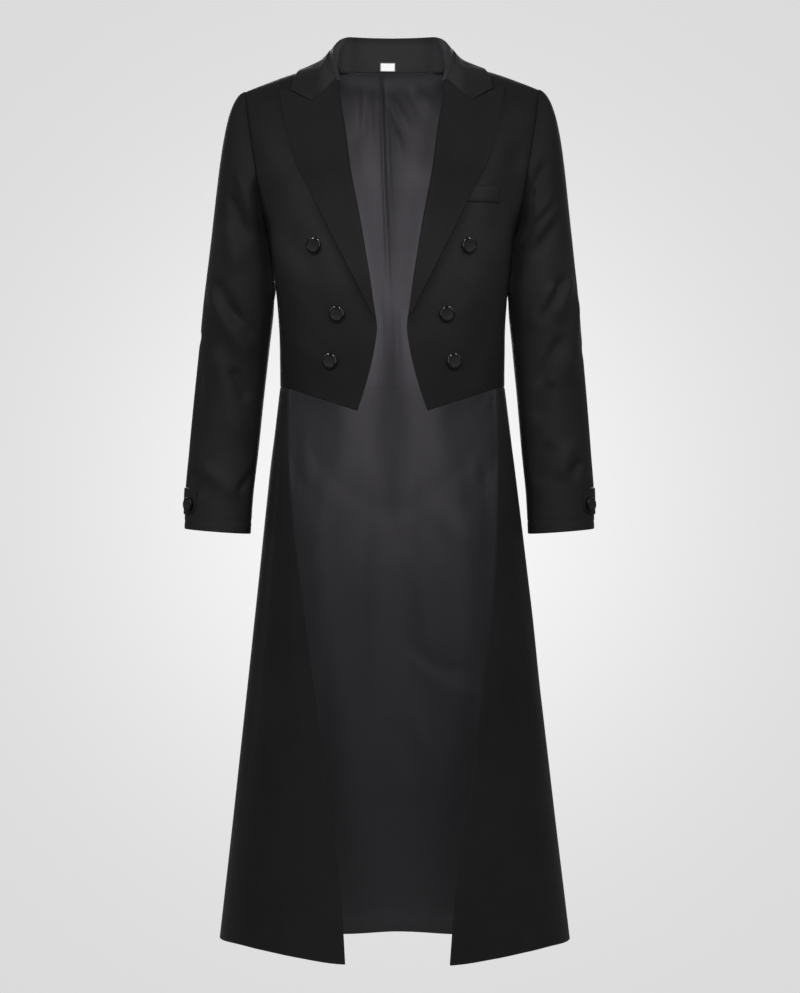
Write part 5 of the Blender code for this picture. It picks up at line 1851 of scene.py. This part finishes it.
@dataclass(frozen=True)
class Button:
    """A round button: a thin polished rim round a matt, dished centre."""

    radius: float
    wall: float = 0.0034
    dish: float = 0.0014
    sides: int = 96
    rim: tuple[Bend, ...] = (
        Bend(80, 27, 0.0006, 8), Bend(27, 16, 0.0017, 14), Bend(16, -55, 0.0003, 8),
        Bend(-55, -55, 0.00055, 4), Bend(-55, -8, 0.0002, 4),
    )

    def profile(self) -> tuple[Grid, Faces]:
        """Radius and height from the back's middle to the face's, and each span's look.

        The rim is walked in short steps, each along the direction of its tilt: over a rounded
        shoulder, up a gently curved bevel and down a steep inner side. The centre is a shallow
        parabola.
        """
        tilts = np.radians(np.concatenate([np.linspace(bend.start, bend.end, bend.steps)
                                           for bend in self.rim]))
        steps = np.concatenate([np.full(bend.steps, bend.length / bend.steps) for bend in self.rim])
        walk = np.stack([-np.cos(tilts), np.sin(tilts)], axis=1) * steps[:, None]
        walk = np.concatenate([[[0.0, 0.0]], walk.cumsum(axis=0)])
        ring = np.array([self.radius, self.wall]) + walk
        wide = self.radius
        back = np.array([[0.0002, 0.0], [wide - 0.0008, 0.0], [wide - 0.0002, 0.0006]])
        low = ring[-1]
        inside = np.linspace(low[0] - 0.0003, 0.0002, 12)
        bowl = low[1] - self.dish * (1 - (inside / low[0]) ** 2)
        rows = np.concatenate([back, ring, np.stack([inside, bowl], axis=1)])
        matt = np.arange(len(rows) - 1) >= len(back) + len(ring) - 1
        return rows, matt.astype(int)

    def build(self, node: str, seat: Grid, axis: Grid, wardrobe: Wardrobe) -> None:
        """Turn the profile round an axis that leaves from the seat, and enter the button.

        Each point is the seat, plus the profile's height along the axis, plus its radius along a
        direction that goes round with the angle.
        """
        rows, skin = self.profile()
        side = unit(np.cross(axis, np.array([0.0, 0.0, 1.0])))
        over = np.cross(side, axis)
        count, sides = len(rows), self.sides
        angle = np.linspace(0, 2 * pi, sides, endpoint=False)
        spoke = np.cos(angle)[:, None] * side + np.sin(angle)[:, None] * over
        points = seat + rows[:, None, 1:] * axis + rows[:, None, :1] * spoke
        place = np.arange(count * sides).reshape(count, sides)
        faces = round_faces(place)
        skins = np.repeat(skin, sides)
        quarter = np.arange(0, sides, 2)
        for ring, flip, look in ((0, True, 0), (count - 1, False, 1)):
            base = place[ring]
            mid = base[(quarter + 1) % sides]
            fan = np.stack([base[quarter], mid, base[(quarter + 2) % sides],
                            np.full(len(quarter), count * sides + (ring > 0))], axis=1)
            faces = np.concatenate([faces, fan[:, ::-1] if flip else fan])
            skins = np.concatenate([skins, np.full(len(quarter), look)])
        centres = np.array([seat + axis * rows[0, 1], seat + axis * rows[-1, 1]])
        points = np.concatenate([points.reshape(-1, 3), centres])
        flat = np.stack([(points - seat) @ side, (points - seat) @ over], axis=1)
        piece = make_piece(f"{node}_turned", points, outside_out(points, faces), flat,
                           (wardrobe.gloss, wardrobe.matt), skins, {})
        enter(piece, node)


@dataclass(frozen=True)
class FrontButtons:
    """Three buttons on each front."""

    button: Button = Button(0.0118)
    places: tuple[Point, ...] = (
        Point(0.1145, -0.2706), Point(0.0817, -0.3733), Point(0.0921, -0.4433),
    )

    def build(self, wardrobe: Wardrobe) -> None:
        """Seat each button on its front, along the way out of it."""
        for side in Side:
            for number, place in enumerate(self.places, start=1):
                point = BODY.point(place.x, place.z, -1)
                outward = BODY.normal(point[None], -1)[0]
                lift = SEAM * 2 - float(front_dent(side, point[0], point[2]))
                seat = hang(side.of((point + outward * lift)[None]))[0]
                self.button.build(f"button_{side.word}_{number}", seat, side.of(outward), wardrobe)


@dataclass(frozen=True)
class CuffTrim:
    """A tab round the back of each cuff and the button at its front end."""

    button: Button = Button(0.0105)
    button_z: float = -0.657
    button_turn: float = 36
    tab_top: float = -0.6325
    tab_bottom: float = -0.6715
    tab_front: float = 50
    tab_back: float = -62
    cut: Cut = Cut(0.096, 0.04, 0.0037)

    @staticmethod
    def spot(turn: Grid, z: Grid) -> tuple[Grid, Grid]:
        """Points on the cuff and the way out of the sleeve there."""
        turn, z = np.broadcast_arrays(np.asarray(turn, float), np.asarray(z, float))
        point = Sleeves.tube(turn, z)
        along = Sleeves.tube(turn + 0.01, z) - point
        down = Sleeves.tube(turn, z - 0.002) - point
        middle, forward = Sleeves.axis(z)
        outward = unit(np.cross(down, along))
        spoke = point - np.stack([middle, forward, z], axis=-1)
        return point, outward * np.sign((outward * spoke).sum(axis=-1, keepdims=True))

    def build(self, wardrobe: Wardrobe) -> None:
        """Make both tabs and both buttons; the tab narrows to a blunt point at its front end."""
        turns = np.radians(spread(self.tab_back, self.tab_front, 44, 0.1))
        heights = spread(self.tab_bottom, self.tab_top, 14, self.tab_top - self.tab_bottom)
        middle = (self.tab_top + self.tab_bottom) / 2
        narrow = 0.35 * np.clip((np.degrees(turns) - self.tab_front + 22) / 22, 0, 1) ** 2
        z = heights[:, None] + (middle - heights[:, None]) * narrow[None, :]
        points, outward = self.spot(turns[None, :], z)
        seat, axis = self.spot(np.array(radians(self.button_turn)), np.array(self.button_z))
        seat = seat + axis * (CLOTH + SEAM * 3)
        upper = points + outward * (SEAM * 1.5 + CLOTH * 0.7)
        for side in Side:
            Panel(f"cuff_tab_{side.word}", hang(side.of(upper), sleeve=True), side.of(outward),
                  Borders.all_round(Border.FREE), (wardrobe.sleeve, wardrobe.sleeve),
                  thickness=CLOTH * 0.7).enter(Slot.SUITING, self.cut, Held.STRETCHED,
                                               f"sleeve_top_{side.word}_cloth")
            base = hang(side.of(seat[None]), sleeve=True)[0]
            self.button.build(f"cuff_button_{side.word}", base, side.of(axis), wardrobe)


# ---- studio ----------------------------------
@dataclass(frozen=True)
class Softbox:
    """An area light aimed at a height on the coat's middle line."""

    name: str
    place: tuple[float, float, float]
    aim_z: float
    size: tuple[float, float]
    power: float

    def build(self) -> None:
        """Add the light, turned so that its back faces away from what it is aimed at."""
        data = bpy.data.lights.new(self.name, "AREA")
        data.shape = "RECTANGLE"
        data.size, data.size_y = self.size
        data.energy = self.power
        lamp = put(self.name, data)
        lamp.location = self.place
        aim = Vector((0.0, 0.0, self.aim_z)) - Vector(self.place)
        lamp.rotation_euler = aim.to_track_quat("-Z", "Y").to_euler()
        lamp.visible_camera = False


@dataclass(frozen=True)
class Studio:
    """A pale backdrop with a soft glow behind the coat, a pale floor, soft boxes and the camera."""

    lens: float = 119.2
    camera: tuple[float, float, float] = (0.01216, -5.0, -0.6452)
    rim_grey: float = 0.706
    glow: float = 0.24
    glow_width: float = 0.0961
    fill: float = 0.25
    floor_z: float = -1.6
    floor_radius: float = 1.25
    boxes: tuple[Softbox, ...] = (
        Softbox("key_left", (-3.3, -1.9, 1.3), -0.4, (2.0, 2.0), 24.0),
        Softbox("key_right", (3.4, -1.8, 1.2), -0.4, (2.0, 2.0), 20.0),
        Softbox("front", (0.3, -4.9, 0.1), -0.45, (2.8, 2.8), 48.0),
        Softbox("outer_spark_left", (-2.5, -2.0, 1.9), -0.35, (0.32, 0.26), 27.0),
        Softbox("outer_spark_right", (2.5, -2.0, 1.9), -0.35, (0.32, 0.26), 27.0),
        Softbox("inner_spark_left", (-0.76, -3.25, 1.7), -0.35, (0.36, 0.28), 32.0),
        Softbox("inner_spark_right", (0.76, -3.25, 1.7), -0.35, (0.36, 0.28), 32.0),
        Softbox("back", (0.0, 4.6, 0.5), -0.45, (2.8, 2.8), 96.0),
        Softbox("back_left", (-1.3, 4.2, 1.6), -0.4, (1.6, 1.6), 66.0),
        Softbox("back_right", (1.3, 4.2, 1.6), -0.4, (1.6, 1.6), 50.0),
    )

    def build_world(self) -> None:
        """Light from all round; the camera sees a grey with a glow, a bell curve of the angle."""
        world = bpy.data.worlds.new("studio")
        bpy.context.scene.world = world
        ink = NodeSketch(world)
        ink.tree.nodes.clear()
        place = ink.add("ShaderNodeTexCoord").outputs["Generated"]
        ahead = ink.add("ShaderNodeSeparateXYZ", {"Vector": place}).outputs["Y"]
        power = ink.sum("MULTIPLY", ink.sum("SUBTRACT", ahead, 1.0), 2 / self.glow_width ** 2)
        seen = ink.sum("MULTIPLY", ink.sum("EXPONENT", power), self.glow)
        seen = ink.sum("ADD", seen, self.rim_grey)
        white = (1.0, 1.0, 1.0, 1.0)
        soft = ink.add("ShaderNodeBackground", {"Color": white, "Strength": self.fill})
        backdrop = ink.add("ShaderNodeBackground", {"Color": white, "Strength": seen})
        from_camera = ink.add("ShaderNodeLightPath").outputs["Is Camera Ray"]
        pick = ink.add("ShaderNodeMixShader", {"Fac": from_camera, 1: soft.outputs["Background"],
                                               2: backdrop.outputs["Background"]})
        ink.add("ShaderNodeOutputWorld", {"Surface": pick.outputs["Shader"]})

    def build_floor(self) -> None:
        """A pale round floor below the hem that fades out towards its rim."""
        rings, sides = np.linspace(0.001, 1.0, 24) * self.floor_radius, 96
        angle = np.linspace(0, 2 * pi, sides, endpoint=False)
        x, y = rings[:, None] * np.cos(angle), rings[:, None] * np.sin(angle)
        points = np.stack([x, y, np.full(x.shape, self.floor_z)], axis=-1).reshape(-1, 3)
        faces = round_faces(np.arange(len(rings) * sides).reshape(len(rings), sides))[:, ::-1]
        ink = NodeSketch.material("pale_floor")
        body = ink.object_place()
        parts = ink.add("ShaderNodeSeparateXYZ", {"Vector": body})
        flat = ink.add("ShaderNodeCombineXYZ", {"X": parts.outputs["X"], "Y": parts.outputs["Y"]})
        reach = ink.add("ShaderNodeVectorMath", {"Vector": flat.outputs["Vector"]},
                        operation="LENGTH")
        share = ink.band(reach.outputs["Value"], self.floor_radius, self.floor_radius * 0.45)
        grain = ink.noise(body, 40.0)
        look = ink.finish({"Base Color": ink.mix(grain, grey(0.7), grey(0.76)), "Roughness": 0.8,
                           "Alpha": share})
        floor = make_piece("floor", points, faces, points[:, :2], (look,),
                           np.zeros(len(faces), int), {})

    def build(self) -> None:
        """Build the backdrop, the floor, the lights and the camera."""
        self.build_world()
        self.build_floor()
        for box in self.boxes:
            box.build()
        data = bpy.data.cameras.new("camera")
        data.lens = self.lens
        data.sensor_width = 36.0
        data.clip_start, data.clip_end = 0.05, 60.0
        view = put("camera", data)
        view.location = self.camera
        view.rotation_euler = (pi / 2, 0.0, 0.0)
        bpy.context.scene.camera = view
        bpy.context.scene.view_settings.view_transform = "Standard"


def main() -> None:
    """Build the studio, then the coat piece by piece."""
    logging.basicConfig(level=logging.INFO, format="%(name)s: %(message)s")
    Studio().build()
    wardrobe = Wardrobe.make()
    for part in (Bodice(), SkirtHalves(), Sleeves(), Lapels(), Collar(), ChestWelt(), CuffTrim(),
                 FrontButtons(), NeckLabel()):
        LOG.info("building %s", type(part).__name__)
        part.build(wardrobe)


if __name__ == "__main__":
    main()
